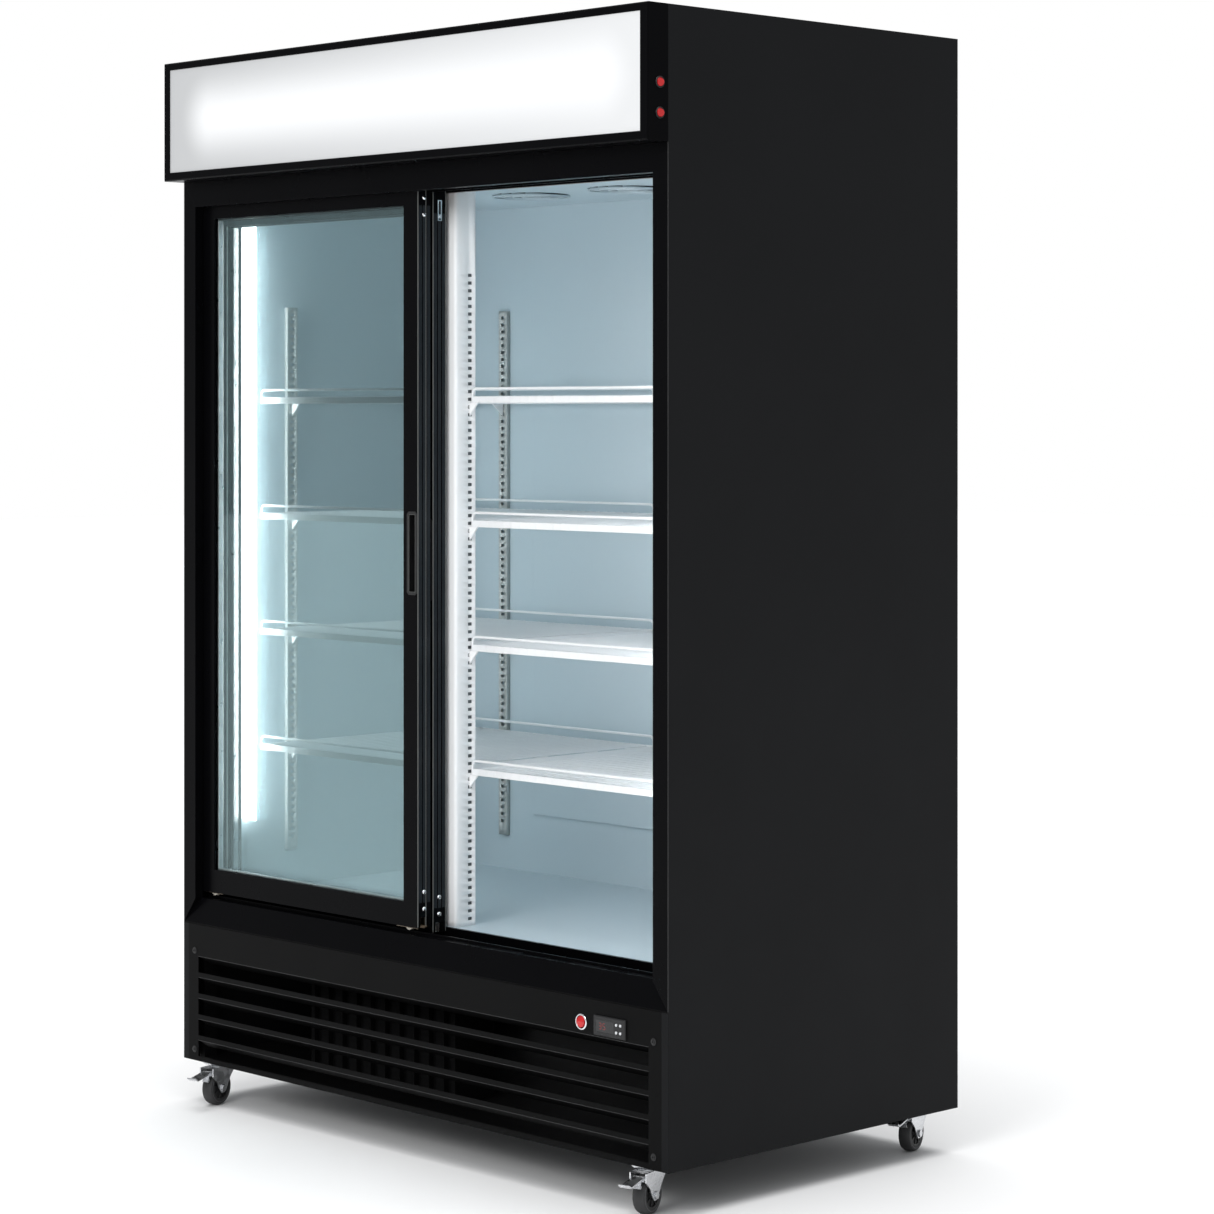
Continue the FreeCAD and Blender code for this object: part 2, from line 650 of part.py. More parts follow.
def door_frame():
    """Head, sill and two jambs, mitred at the corners."""
    y0 = FRONT - 1
    y1 = FRAME_BACK + 1
    far = SHELL_X + 1
    rise = HEAD_HEIGHT / (SHELL_X - JAMB_X)
    drop = SILL_HEIGHT / (SHELL_X - JAMB_X)
    above = prism_y([(JAMB_X, HEAD_BOTTOM), (far, SIGN_BOTTOM + rise), (JAMB_X, SIGN_BOTTOM + rise)],
                    y0, y1)
    below = prism_y([(JAMB_X, SILL_TOP), (far, SILL_BOTTOM - drop), (JAMB_X, SILL_BOTTOM - drop)],
                    y0, y1)
    jamb = prism_z(jamb_profile(), SILL_BOTTOM, SIGN_BOTTOM).cut(above).cut(below)
    jamb = jamb.cut(block(0, SHELL_X, FRAME_BACK - FRAME_BACK_LIP, FRAME_BACK + 1, 0, FLOOR))
    corner = block(JAMB_X, far, y0, y1, SILL_BOTTOM - 10, SIGN_BOTTOM + 10)
    head_corner = corner.cut(above)
    sill_corner = corner.cut(below)
    head = prism_x(head_profile(), -SHELL_X, SHELL_X)
    sill = prism_x(sill_profile(), -SHELL_X, SHELL_X)
    head = head.cut(head_corner).cut(mirror_x(head_corner))
    ends = sill_corner.cut(block(0, far, FRAME_BACK - FRAME_BACK_LIP, y1, 0, FLOOR))
    sill = sill.cut(ends).cut(mirror_x(ends))
    return [head, sill, jamb, mirror_x(jamb)]


# ---- sliding doors ----
def door_frame_members(y, drop):
    """Four mitred members with the glass groove, carriage groove, edge ribs and handle hole."""
    z0 = DOOR_BOTTOM - drop
    z1 = z0 + DOOR_HEIGHT
    x0 = DOOR_LEFT
    x1 = DOOR_RIGHT
    gx0 = x0 + OUTER_STILE
    gx1 = x1 - INNER_STILE
    gz0 = z0 + BOTTOM_RAIL
    gz1 = z1 - TOP_RAIL
    y1 = y + DOOR_THICKNESS
    bottom = prism_y([(x0, z0), (x1, z0), (gx1, gz0), (gx0, gz0)], y, y1)
    top = prism_y([(x0, z1), (gx0, gz1), (gx1, gz1), (x1, z1)], y, y1)
    left = prism_y([(x0, z0), (gx0, gz0), (gx0, gz1), (x0, z1)], y, y1)
    right = prism_y([(x1, z0), (x1, z1), (gx1, gz1), (gx1, gz0)], y, y1)
    cuts = [block(gx0 - GLASS_BITE, gx1 + GLASS_BITE, glass_y(y) - GLASS_FIT / 2,
                  glass_y(y) + GLASS_UNIT + GLASS_FIT / 2, gz0 - GLASS_BITE, gz1 + GLASS_BITE)]
    middle = y + DOOR_THICKNESS / 2
    cuts.append(block(x0 - 1, x1 + 1, middle - CARRIAGE_GROOVE / 2, middle + CARRIAGE_GROOVE / 2,
                      z0 - 1, z0 + CARRIAGE_GROOVE_DEPTH))
    for rib in (DOOR_THICKNESS / 3, 2 * DOOR_THICKNESS / 3):
        cuts.append(block(x1 - EDGE_RIB_DEPTH, x1 + 1, y + rib - EDGE_RIB / 2,
                          y + rib + EDGE_RIB / 2, z0 + BOTTOM_RAIL, z1 - TOP_RAIL))
    cuts.append(handle_hole(y, drop))
    tool = Part.makeCompound(cuts)
    return [member.cut(tool) for member in (bottom, top, left, right)]


def glass_y(y):
    """Front face of the sealed glass unit."""
    return y + (DOOR_THICKNESS - GLASS_UNIT) / 2


def door_glass(y, drop):
    """Two panes and the spacer between them."""
    z0 = DOOR_BOTTOM - drop + BOTTOM_RAIL - GLASS_BITE + GLASS_FIT
    z1 = DOOR_BOTTOM - drop + DOOR_HEIGHT - TOP_RAIL + GLASS_BITE - GLASS_FIT
    x0 = DOOR_LEFT + OUTER_STILE - GLASS_BITE + GLASS_FIT
    x1 = DOOR_RIGHT - INNER_STILE + GLASS_BITE - GLASS_FIT
    g0 = glass_y(y)
    g1 = g0 + GLASS_UNIT
    front = block(x0, x1, g0, g0 + PANE, z0, z1)
    back = block(x0, x1, g1 - PANE, g1, z0, z1)
    inset = SPACER_INSET
    thick = inset + SPACER_WIDTH
    rim = block(x0 + inset, x1 - inset, g0 + PANE, g1 - PANE, z0 + inset, z1 - inset)
    hole = block(x0 + thick, x1 - thick, g0 + PANE - 1, g1, z0 + thick, z1 - thick)
    return [front, back, rim.cut(hole)]


def handle_x():
    """Middle of the cup handle on the inner stile."""
    return DOOR_RIGHT - HANDLE_WIDTH / 2 - 2


def handle_z(drop):
    """Height of the middle of a door's handle."""
    return DOOR_BOTTOM - drop + DOOR_HEIGHT / 2


def handle_hole(y, drop):
    """Hole in the stile that the handle's cup sits in."""
    half = HANDLE_WIDTH / 2 - HANDLE_RIM + HANDLE_WALL + HOLE_FIT
    tall = HANDLE_HEIGHT / 2 - HANDLE_RIM + HANDLE_WALL + HOLE_FIT
    z = handle_z(drop)
    deep = HANDLE_CUP_DEPTH + HANDLE_WALL + HOLE_FIT
    return block(handle_x() - half, handle_x() + half, y - 1, y + deep, z - tall, z + tall)


def door_handle(y, drop):
    """Flush cup handle: a plate with cut corners and a finger recess."""
    z = handle_z(drop)
    half = HANDLE_WIDTH / 2
    tall = HANDLE_HEIGHT / 2
    x = handle_x()
    plate = block(x - half, x + half, y - HANDLE_PROUD, y, z - tall, z + tall)
    corners = [edge for edge in plate.Edges if edge.Length < HANDLE_PROUD + 0.1]
    plate = plate.makeChamfer(HANDLE_RIM, corners)
    inner = half - HANDLE_RIM
    high = tall - HANDLE_RIM
    cup = block(x - inner - HANDLE_WALL, x + inner + HANDLE_WALL, y, y + HANDLE_CUP_DEPTH + HANDLE_WALL,
                z - high - HANDLE_WALL, z + high + HANDLE_WALL)
    recess = block(x - inner, x + inner, y - HANDLE_PROUD - 1, y + HANDLE_CUP_DEPTH, z - high, z + high)
    return fuse([plate, cup]).cut(recess)


def door_seal(y, drop):
    """Ribbed strip on the rear door's outer stile."""
    z0 = DOOR_BOTTOM - drop + BOTTOM_RAIL
    z1 = DOOR_BOTTOM - drop + DOOR_HEIGHT - TOP_RAIL
    x = DOOR_LEFT + (OUTER_STILE - SEAL_WIDTH) / 2
    third = SEAL_WIDTH / 10
    p = SEAL_PROUD
    outline = [(x, y), (x, y - p), (x + 5 * third, y - p), (x + 5 * third, y - p / 2),
               (x + 6 * third, y - p / 2), (x + 6 * third, y - p), (x + 7.5 * third, y - p),
               (x + 7.5 * third, y - p / 2), (x + 8.5 * third, y - p / 2),
               (x + 8.5 * third, y - p), (x + SEAL_WIDTH, y - p), (x + SEAL_WIDTH, y)]
    return prism_z(outline, z0, z1)


def roller_places(y, drop):
    """Middle of each of a door's two rollers."""
    z = SILL_TOP - drop + RIB_HEIGHT + ROLLING_GAP + ROLLER_RADIUS
    inset = CARRIAGE_END + CARRIAGE_LENGTH / 2
    middle = y + DOOR_THICKNESS / 2
    return [(DOOR_LEFT + inset, middle, z), (DOOR_RIGHT - inset, middle, z)]


def carriage(x, y, z, ceiling):
    """Channel-shaped roller carriage with its pin."""
    half = CARRIAGE_LENGTH / 2
    wide = CARRIAGE_WIDTH / 2
    inner = wide - CARRIAGE_CHEEK
    low = z - CARRIAGE_SKIRT
    body = block(x - half, x + half, y - wide, y + wide, low, ceiling)
    hollow = block(x - half - 1, x + half + 1, y - inner, y + inner, low - 1, ceiling - CARRIAGE_CHEEK)
    well = block(x - ROLLER_RADIUS - 1, x + ROLLER_RADIUS + 1, y - inner, y + inner, low - 1, ceiling + 1)
    pin = drum((x, y - wide + CARRIAGE_CHEEK / 2, z), (0, 1, 0), ROLLER_PIN,
               CARRIAGE_WIDTH - CARRIAGE_CHEEK)
    return fuse([body.cut(hollow).cut(well), pin])


def roller(x, y, z):
    """Roller that runs on the sill's rib."""
    tyre = drum((x, y - ROLLER_WIDTH / 2, z), (0, 1, 0), ROLLER_RADIUS, ROLLER_WIDTH)
    return tyre.cut(drum((x, y - ROLLER_WIDTH, z), (0, 1, 0), ROLLER_PIN + SHAFT_FIT, 2 * ROLLER_WIDTH))


def door_fittings(y, drop):
    """The two roller carriages of a door, its edge screws and the rear door's catch plate."""
    z0 = DOOR_BOTTOM - drop
    z1 = z0 + DOOR_HEIGHT
    middle = y + DOOR_THICKNESS / 2
    pieces = [carriage(px, py, pz, z0 + CARRIAGE_GROOVE_DEPTH) for px, py, pz in roller_places(y, drop)]
    heights = [z0 + inset for inset in SCREW_INSETS]
    if drop:
        pieces.append(block(DOOR_RIGHT, DOOR_RIGHT + CATCH_THICKNESS, middle - CATCH_WIDTH / 2,
                            middle + CATCH_WIDTH / 2, z1 - CATCH_INSET - CATCH_LENGTH, z1 - CATCH_INSET))
    else:
        heights += [z1 - inset for inset in SCREW_INSETS]
    for height in heights:
        head = polygon(0, 0, SCREW_RADIUS, 0, SCREW_PROUD)
        head.rotate(Vector(0, 0, 0), Vector(0, 0, 1), -90)
        head.translate(Vector(DOOR_RIGHT, middle, height))
        pieces.append(head)
    return pieces


# ---- interior fittings ----
def centre_post():
    """Slotted upright between the two sections, with every fourth slot of the pattern cut."""
    y0 = FRAME_BACK + LINER_SHEET
    y1 = FRAME_BACK + POST_DEPTH
    outer = block(-POST_X, POST_X, y0, y1, FLOOR, CEILING)
    front_edges = [edge for edge in outer.Edges if at_front(edge, y0) and edge.Length > POST_WIDTH * 2]
    outer = outer.makeFillet(POST_CORNER, front_edges)
    hollow = block(-POST_X + POST_SHEET, POST_X - POST_SHEET, y0 + POST_CORNER, y1 - POST_SHEET,
                   FLOOR - 1, CEILING + 1)
    slots = []
    for number in range(SLOT_FIRST, SLOT_COUNT, SLOT_STEP):
        z = slot_z(number)
        slots.append(block(-POST_X - 1, POST_X + 1, SLOT_Y - SLOT_DEPTH / 2, SLOT_Y + SLOT_DEPTH / 2,
                           z - SLOT_HEIGHT / 2, z + SLOT_HEIGHT / 2))
    return outer.cut(hollow).cut(Part.makeCompound(slots))


def standard_blank():
    """Slotted channel, back against X = 0 and standing out along +X, middle at Y = 0."""
    z0 = slot_z(STANDARD_FIRST_SLOT - 2)
    z1 = slot_z(SLOT_COUNT - STANDARD_END_SLOTS)
    half = STANDARD_WIDTH / 2
    thick = STANDARD_SHEET
    bar = block(0, STANDARD_DEPTH, -half, half, z0, z1)
    hollow = block(-1, STANDARD_DEPTH - thick, -half + thick, half - thick, z0 - 1, z1 + 1)
    slots = []
    for number in range(STANDARD_FIRST_SLOT, SLOT_COUNT - STANDARD_END_SLOTS, SLOT_STEP):
        z = slot_z(number)
        slots.append(block(0, STANDARD_DEPTH + 1, -SLOT_DEPTH / 2, SLOT_DEPTH / 2,
                           z - SLOT_HEIGHT / 2, z + SLOT_HEIGHT / 2))
    return bar.cut(hollow).cut(Part.makeCompound(slots))


def placed(shape, x, y, turn):
    """Copy turned about Z and moved."""
    copy = shape.copy()
    move = FreeCAD.Placement(Vector(x, y, 0), Rotation(Vector(0, 0, 1), turn))
    copy.Placement = move.multiply(shape.Placement)
    return copy


def shelf_standards():
    """One channel on each side wall and three at the back."""
    blank = standard_blank()
    y = FRONT + SIDE_STANDARD_SETBACK
    places = [(-ROOM_X, y, 0), (ROOM_X, y, 180), (-BACK_STANDARD_X, ROOM_BACK, -90),
              (BACK_STANDARD_X, ROOM_BACK, -90), (0, DUCT_FACE, -90)]
    return [placed(blank, *place) for place in places]


def clip_blank(number, reach):
    """Gusset that stands out along +X from X = 0, top under the shelf, with its hook."""
    top = slot_z(number) + CLIP_DROP
    low = top - CLIP_HEIGHT
    hook_low = slot_z(number) - SLOT_HEIGHT / 2 + 1
    hook_high = slot_z(number) + SLOT_HEIGHT / 2 - 1
    outline = [(0, top), (reach, top), (0, low), (0, hook_low), (-CLIP_HOOK, hook_low),
               (-CLIP_HOOK, hook_high), (0, hook_high)]
    return prism_y(outline, -CLIP_THICKNESS / 2, CLIP_THICKNESS / 2)


def shelf_clips():
    """Four clips for each shelf: post, side wall and two at the back."""
    clips = []
    side = ROOM_X - STANDARD_DEPTH
    side_y = FRONT + SIDE_STANDARD_SETBACK
    centre_face = DUCT_FACE - STANDARD_DEPTH
    outer_face = ROOM_BACK - STANDARD_DEPTH
    for number in SHELF_SLOTS:
        blank = clip_blank(number, CLIP_REACH)
        long_blank = clip_blank(number, CLIP_REACH + BACK_CLIP_EXTRA)
        clips.append(placed(blank, POST_X, SLOT_Y, 0))
        clips.append(placed(blank, -POST_X, SLOT_Y, 180))
        clips.append(placed(blank, side, side_y, 180))
        clips.append(placed(blank, -side, side_y, 0))
        clips.append(placed(long_blank, BACK_STANDARD_X, outer_face, -90))
        clips.append(placed(long_blank, -BACK_STANDARD_X, outer_face, -90))
        clips.append(placed(blank, 0, centre_face, -90))
    return clips


def rail_loop(x0, x1, y, z, rise):
    """Wire that rises from a shelf's edge, slopes over and comes down at the other end."""
    half = RAIL_WIRE / 2
    low = z - half
    top = z + rise + half
    under = top - RAIL_WIRE
    over = RAIL_BEND + RAIL_WIRE
    outline = [(x0, low), (x0, top - RAIL_BEND), (x0 + RAIL_BEND, top), (x1 - RAIL_BEND, top),
               (x1, top - RAIL_BEND), (x1, low), (x1 - RAIL_WIRE, low),
               (x1 - RAIL_WIRE, under - RAIL_BEND + half), (x1 - over, under),
               (x0 + over, under), (x0 + RAIL_WIRE, under - RAIL_BEND + half), (x0 + RAIL_WIRE, low)]
    return prism_y(outline, y - half, y + half)


def shelf(number):
    """Right-hand wire shelf: a band frame, deck wires and two raised rails."""
    deck = shelf_deck(number)
    x0 = SHELF_INNER
    x1 = SHELF_OUTER
    y0 = SHELF_FRONT_Y
    y1 = SHELF_BACK_Y
    t = SHELF_BAND_THICKNESS
    outer = block(x0, x1, y0, y1, deck - SHELF_BAND, deck)
    inner = block(x0 + t, x1 - t, y0 + t, y1 - t, deck - SHELF_BAND - 1, deck + 1)
    pieces = [outer.cut(inner)]
    count = int((x1 - x0) // DECK_PITCH)
    pitch = (x1 - x0) / (count + 1)
    for wire in range(1, count + 1):
        middle = x0 + wire * pitch
        pieces.append(block(middle - DECK_WIRE / 2, middle + DECK_WIRE / 2, y0 + t, y1 - t,
                            deck - DECK_WIRE, deck))
    pieces.append(rail_loop(x0, x1, y0 + RAIL_WIRE / 2, deck, FRONT_RAIL_RISE))
    pieces.append(rail_loop(x0, x1, y1 - RAIL_WIRE / 2, deck, BACK_RAIL_RISE))
    return fuse(pieces)


# ---- cooling unit ----
def evaporator_cover():
    """Ceiling panel with two guarded fan holes, and the folded duct panel on the back wall."""
    z0 = CEILING
    z1 = CEILING + COVER_SHEET
    panel = block(-ROOM_X, ROOM_X, FRAME_BACK + LINER_SHEET, ROOM_BACK, z0, z1)
    bars = []
    pitch = 2 * EVAP_HOLE / (EVAP_GUARD_BARS + 1)
    for x in (-EVAP_FAN_X, EVAP_FAN_X):
        panel = panel.cut(drum((x, EVAP_FAN_Y, z0 - 1), (0, 0, 1), EVAP_HOLE, COVER_SHEET + 2))
        for bar in range(1, EVAP_GUARD_BARS + 1):
            offset = -EVAP_HOLE + bar * pitch
            reach = math.sqrt(EVAP_HOLE ** 2 - offset ** 2) + GUARD_LAP
            bars.append(block(x + offset - GUARD_BAR / 2, x + offset + GUARD_BAR / 2,
                              EVAP_FAN_Y - reach, EVAP_FAN_Y + reach, z0 - GUARD_BAR, z0))
    duct = block(-DUCT_X, DUCT_X, DUCT_FACE, ROOM_BACK, FLOOR + DUCT_LIFT, z0)
    inside = block(-DUCT_X + COVER_SHEET, DUCT_X - COVER_SHEET, DUCT_FACE + COVER_SHEET,
                   ROOM_BACK + 1, FLOOR + DUCT_LIFT + COVER_SHEET, z0 - COVER_SHEET)
    return [fuse([panel] + bars), duct.cut(inside)]


def finned_block(x0, x1, y0, y1, z0, z1):
    """Coil block whose front face is cut into fins."""
    coil = block(x0, x1, y0, y1, z0, z1)
    pitch = (x1 - x0) / FIN_GROOVES
    cuts = []
    for groove in range(FIN_GROOVES):
        middle = x0 + (groove + 0.5) * pitch
        cuts.append(block(middle - pitch / 4, middle + pitch / 4, y0 - 1, y0 + (y1 - y0) / 4,
                          z0 - 1, z1 + 1))
    return coil.cut(Part.makeCompound(cuts))


def evaporator_coil():
    """Finned coil above the ceiling panel."""
    y0 = ROOM_BACK - COIL_DEPTH - COIL_BACK_GAP
    z0 = CEILING + COVER_SHEET + COIL_LIFT
    z1 = z0 + COIL_HEIGHT
    coil = finned_block(-COIL_X, COIL_X, y0, y0 + COIL_DEPTH, z0, z1)
    hangers = [block(x, x + COIL_HANGER, y0, y0 + COIL_DEPTH, z1, ROOM_TOP)
               for x in (-COIL_X, COIL_X - COIL_HANGER)]
    return fuse([coil] + hangers)


def fan(centre, along_z, radius, hub, depth):
    """Faceted hub with pitched blades, its shaft along Z or Y."""
    parts = [upright_polygon(0, 0, hub, 0, depth, 2 * BLADES)]
    chord = radius * BLADE_CHORD
    middle = depth / 2
    reach = math.sqrt(radius ** 2 - (chord / 2) ** 2) - BLADE_THICKNESS
    for number in range(BLADES):
        blade = block(0, reach, -chord / 2, chord / 2, middle - BLADE_THICKNESS / 2,
                      middle + BLADE_THICKNESS / 2)
        blade.rotate(Vector(0, 0, middle), Vector(1, 0, 0), BLADE_PITCH)
        blade.rotate(Vector(0, 0, 0), Vector(0, 0, 1), number * 360 / BLADES)
        parts.append(blade)
    wheel = fuse(parts)
    if not along_z:
        wheel.rotate(Vector(0, 0, 0), Vector(1, 0, 0), -90)
    wheel.translate(Vector(*centre))
    return wheel


def condenser():
    """Finned coil with its fan shroud behind it and the fan motor on its arm."""
    x0 = CONDENSER_X
    x1 = x0 + CONDENSER_WIDTH
    y1 = CONDENSER_Y + CONDENSER_DEPTH
    z0 = PAN_TOP
    z1 = CONDENSER_TOP
    middle = (z0 + z1) / 2
    coil = finned_block(x0, x1, CONDENSER_Y, y1, z0, z1)
    sides = [block(x, x + SHROUD_SHEET, y1, SHROUD_Y, z0, z1) for x in (x0, x1 - SHROUD_SHEET)]
    shroud = block(x0, x1, SHROUD_Y - SHROUD_SHEET, SHROUD_Y, z0, z1)
    shroud = shroud.cut(drum((FAN_X, y1, middle), (0, 1, 0), FAN_HOLE, SHROUD_DEPTH + 1))
    arm_y = SHROUD_Y + MOTOR_GAP + MOTOR_ARM_THICKNESS
    motor = polygon(FAN_X, middle, MOTOR_RADIUS, SHROUD_Y + MOTOR_GAP, SHROUD_Y + MOTOR_GAP + MOTOR_LENGTH,
                    2 * BLADES)
    far = FAN_HOLE + MOTOR_ARM_LAP
    low = middle - MOTOR_ARM / 2
    high = middle + MOTOR_ARM / 2
    arm = block(FAN_X - far, FAN_X + far, arm_y, arm_y + MOTOR_ARM_THICKNESS, low, high)
    feet = [block(x, x + MOTOR_ARM_LAP, SHROUD_Y, arm_y + MOTOR_ARM_THICKNESS, low, high)
            for x in (FAN_X - far, FAN_X + FAN_HOLE)]
    return fuse([coil] + sides + [shroud, motor, arm] + feet)


def compressor():
    """Hermetic shell with its terminal box, on a mounting plate with four feet."""
    length, depth, thick = COMPRESSOR_PLATE
    x0 = COMPRESSOR_X - length / 2
    y0 = COMPRESSOR_Y - depth / 2
    low = PAN_TOP + COMPRESSOR_FOOT
    seat = low + thick
    plate = block(x0, x0 + length, y0, y0 + depth, low, seat)
    feet = [block(x, x + COMPRESSOR_FOOT, y, y + COMPRESSOR_FOOT, PAN_TOP, low)
            for x in (x0, x0 + length - COMPRESSOR_FOOT) for y in (y0, y0 + depth - COMPRESSOR_FOOT)]
    shell = drum((COMPRESSOR_X, COMPRESSOR_Y, seat), (0, 0, 1), COMPRESSOR_RADIUS, COMPRESSOR_HEIGHT)
    wide, across, tall = TERMINAL_BOX
    box_x = COMPRESSOR_X - COMPRESSOR_RADIUS - wide + COMPRESSOR_FOOT
    box = block(box_x, box_x + wide, COMPRESSOR_Y - across / 2, COMPRESSOR_Y + across / 2,
                seat + TERMINAL_LIFT, seat + TERMINAL_LIFT + tall)
    return fuse([plate, shell, box] + feet)


# ---- grille and controls ----
def grille_panel():
    """Louvred front panel with returned ends and holes for the controls."""
    z0 = BASE
    y0 = FRONT
    y1 = FRONT + GRILLE_SHEET
    sheet = block(-GRILLE_X, GRILLE_X, y0, y1, z0, z0 + GRILLE_HEIGHT)
    ends = [block(x, x + GRILLE_SHEET, y0, y0 + LOUVRE_DEPTH, z0, z0 + GRILLE_HEIGHT)
            for x in (-GRILLE_X, GRILLE_X - GRILLE_SHEET)]
    reach = GRILLE_X - GRILLE_END
    cuts = []
    blades = []
    for row in range(GRILLE_OPENINGS):
        low = z0 + GRILLE_BAR + row * GRILLE_PITCH
        high = low + GRILLE_PITCH - GRILLE_BAR
        cuts.append(block(-reach, reach, y0 - 1, y1 + 1, low, high))
        outline = [(y0 + LOUVRE_EDGE, high), (y1, high), (y0 + LOUVRE_DEPTH, high - LOUVRE_DROP),
                   (y0 + LOUVRE_DEPTH - GRILLE_SHEET, high - LOUVRE_DROP - 1)]
        blades.append(prism_x(outline, -reach, reach))
    holes = [drum((POWER_X, y0 - 1, CONTROL_PLANE), (0, 1, 0), POWER_BARREL + HOLE_FIT,
                  GRILLE_SHEET + 2), controller_hole()]
    panel = sheet.cut(Part.makeCompound(cuts))
    return fuse([panel] + ends + blades).cut(Part.makeCompound(holes))


def controller_hole():
    """Cut-out for the controller's body."""
    half = CONTROLLER_BODY_WIDTH / 2 + HOLE_FIT
    tall = CONTROLLER_BODY_HEIGHT / 2 + HOLE_FIT
    return block(CONTROLLER_X - half, CONTROLLER_X + half, FRONT - 1, FRONT + GRILLE_SHEET + 1,
                 CONTROL_PLANE - tall, CONTROL_PLANE + tall)


def grille_screws():
    """Four hexagon-head screws that hold the grille."""
    far = HALF - GRILLE_SCREW_INSET
    return [polygon(x, BASE + height, GRILLE_SCREW_RADIUS, FRONT - GRILLE_SCREW_PROUD, FRONT)
            for x in (-far, far) for height in GRILLE_SCREW_HEIGHTS]


def button_places():
    """Name and middle of each controller button."""
    places = []
    for column, dx in (("left", -1), ("right", 1)):
        for row, dz in (("upper", 1), ("lower", -1)):
            x = CONTROLLER_X + BUTTON_X + dx * BUTTON_SPACING_X / 2
            z = CONTROL_PLANE + dz * BUTTON_SPACING_Z / 2
            places.append((row + "_" + column, x, z))
    return places


def controller():
    """Digital thermostat: bezel, display recess, body and the wells of its buttons."""
    half = CONTROLLER_WIDTH / 2
    tall = CONTROLLER_HEIGHT / 2
    x0 = CONTROLLER_X - half
    face = CONTROLLER_FACE
    bezel = block(x0, x0 + CONTROLLER_WIDTH, face, FRONT, CONTROL_PLANE - tall, CONTROL_PLANE + tall)
    rims = [edge for edge in bezel.Edges if at_front(edge, face)]
    bezel = bezel.makeChamfer(CONTROLLER_CHAMFER, rims)
    body = block(CONTROLLER_X - CONTROLLER_BODY_WIDTH / 2, CONTROLLER_X + CONTROLLER_BODY_WIDTH / 2,
                 FRONT, FRONT + CONTROLLER_BODY_DEPTH, CONTROL_PLANE - CONTROLLER_BODY_HEIGHT / 2,
                 CONTROL_PLANE + CONTROLLER_BODY_HEIGHT / 2)
    window = block(x0 + DISPLAY_INSET, x0 + DISPLAY_INSET + DISPLAY_WIDTH, face - 1, face + DISPLAY_DEPTH,
                   CONTROL_PLANE - DISPLAY_HEIGHT / 2, CONTROL_PLANE + DISPLAY_HEIGHT / 2)
    wells = [key(x, z, BUTTON_SIZE / 2 + BUTTON_GAP, face - 1, FRONT) for name, x, z in button_places()]
    return fuse([bezel, body]).cut(window).cut(Part.makeCompound(wells))


def key(x, z, half, y0, y1):
    """Square key or well between two depths."""
    return block(x - half, x + half, y0, y1, z - half, z + half)


def button(x, z):
    """Square key that stands out of the controller's face."""
    front = CONTROLLER_FACE - BUTTON_PROUD
    return key(x, z, BUTTON_SIZE / 2, front, front + CONTROLLER_PROUD - HOLE_FIT)


def switch_bezel(outer, barrel):
    """Ring and barrel of a round rocker switch, facing +X at the origin."""
    ring = drum((0, 0, 0), (1, 0, 0), outer, BEZEL_PROUD)
    tube = drum((-BEZEL_BARREL_DEPTH, 0, 0), (1, 0, 0), barrel, BEZEL_BARREL_DEPTH + 1)
    bore = drum((-BEZEL_BARREL_DEPTH, 0, 0), (1, 0, 0), barrel - BEZEL_WALL,
                BEZEL_BARREL_DEPTH + BEZEL_PROUD)
    return fuse([ring, tube]).cut(bore)


def rocker(barrel):
    """Round rocker with a ridged face, tilted to its off side, facing +X at the origin."""
    radius = barrel - BEZEL_WALL - ROCKER_GAP
    outline = [(-ROCKER_BACK, -radius), (ROCKER_EDGE, -radius), (ROCKER_RIDGE, 0),
               (ROCKER_EDGE, radius), (-ROCKER_BACK, radius)]
    body = prism_y(outline, -radius, radius)
    cap = body.common(drum((-ROCKER_BACK, 0, 0), (1, 0, 0), radius, 2 * ROCKER_BACK))
    cap.rotate(Vector(-ROCKER_PIVOT, 0, 0), Vector(0, 1, 0), -ROCKER_TILT)
    return cap


def at_switch(shape, name):
    """Copy of a switch piece at its place on the cabinet."""
    copy = shape.copy()
    if name == "power":
        copy.rotate(Vector(0, 0, 0), Vector(0, 0, 1), -90)
        copy.translate(Vector(POWER_X, FRONT, CONTROL_PLANE))
        return copy
    copy.translate(Vector(HALF, FRONT - LIGHT_SWITCH_SETBACK, SIGN_BOTTOM + LIGHT_SWITCH_LIFTS[name]))
    return copy


# ---- casters, drawn with the kingpin on the Z axis and the wheel trailing along +X ----
def caster_plate():
    """Top plate with its four bolts and the kingpin."""
    half = CASTER_PLATE / 2
    z0 = CASTER_HEIGHT - CASTER_PLATE_THICKNESS
    plate = block(-half, half, -half, half, z0, CASTER_HEIGHT)
    corners = [edge for edge in plate.Edges if edge.Length < CASTER_PLATE_THICKNESS + 0.1]
    plate = plate.makeChamfer(PLATE_CORNER, corners)
    nut_top = FORK_LOW - HOLE_FIT
    pin = drum((0, 0, nut_top), (0, 0, 1), KINGPIN, z0 - nut_top)
    nut = upright_polygon(0, 0, KINGPIN_NUT, nut_top - KINGPIN_NUT_DROP, nut_top)
    inset = half - PLATE_BOLT_INSET
    bolts = [upright_polygon(x, y, PLATE_BOLT, z0 - PLATE_BOLT_DROP, z0)
             for x in (-inset, inset) for y in (-inset, inset)]
    return fuse([plate, pin, nut] + bolts)


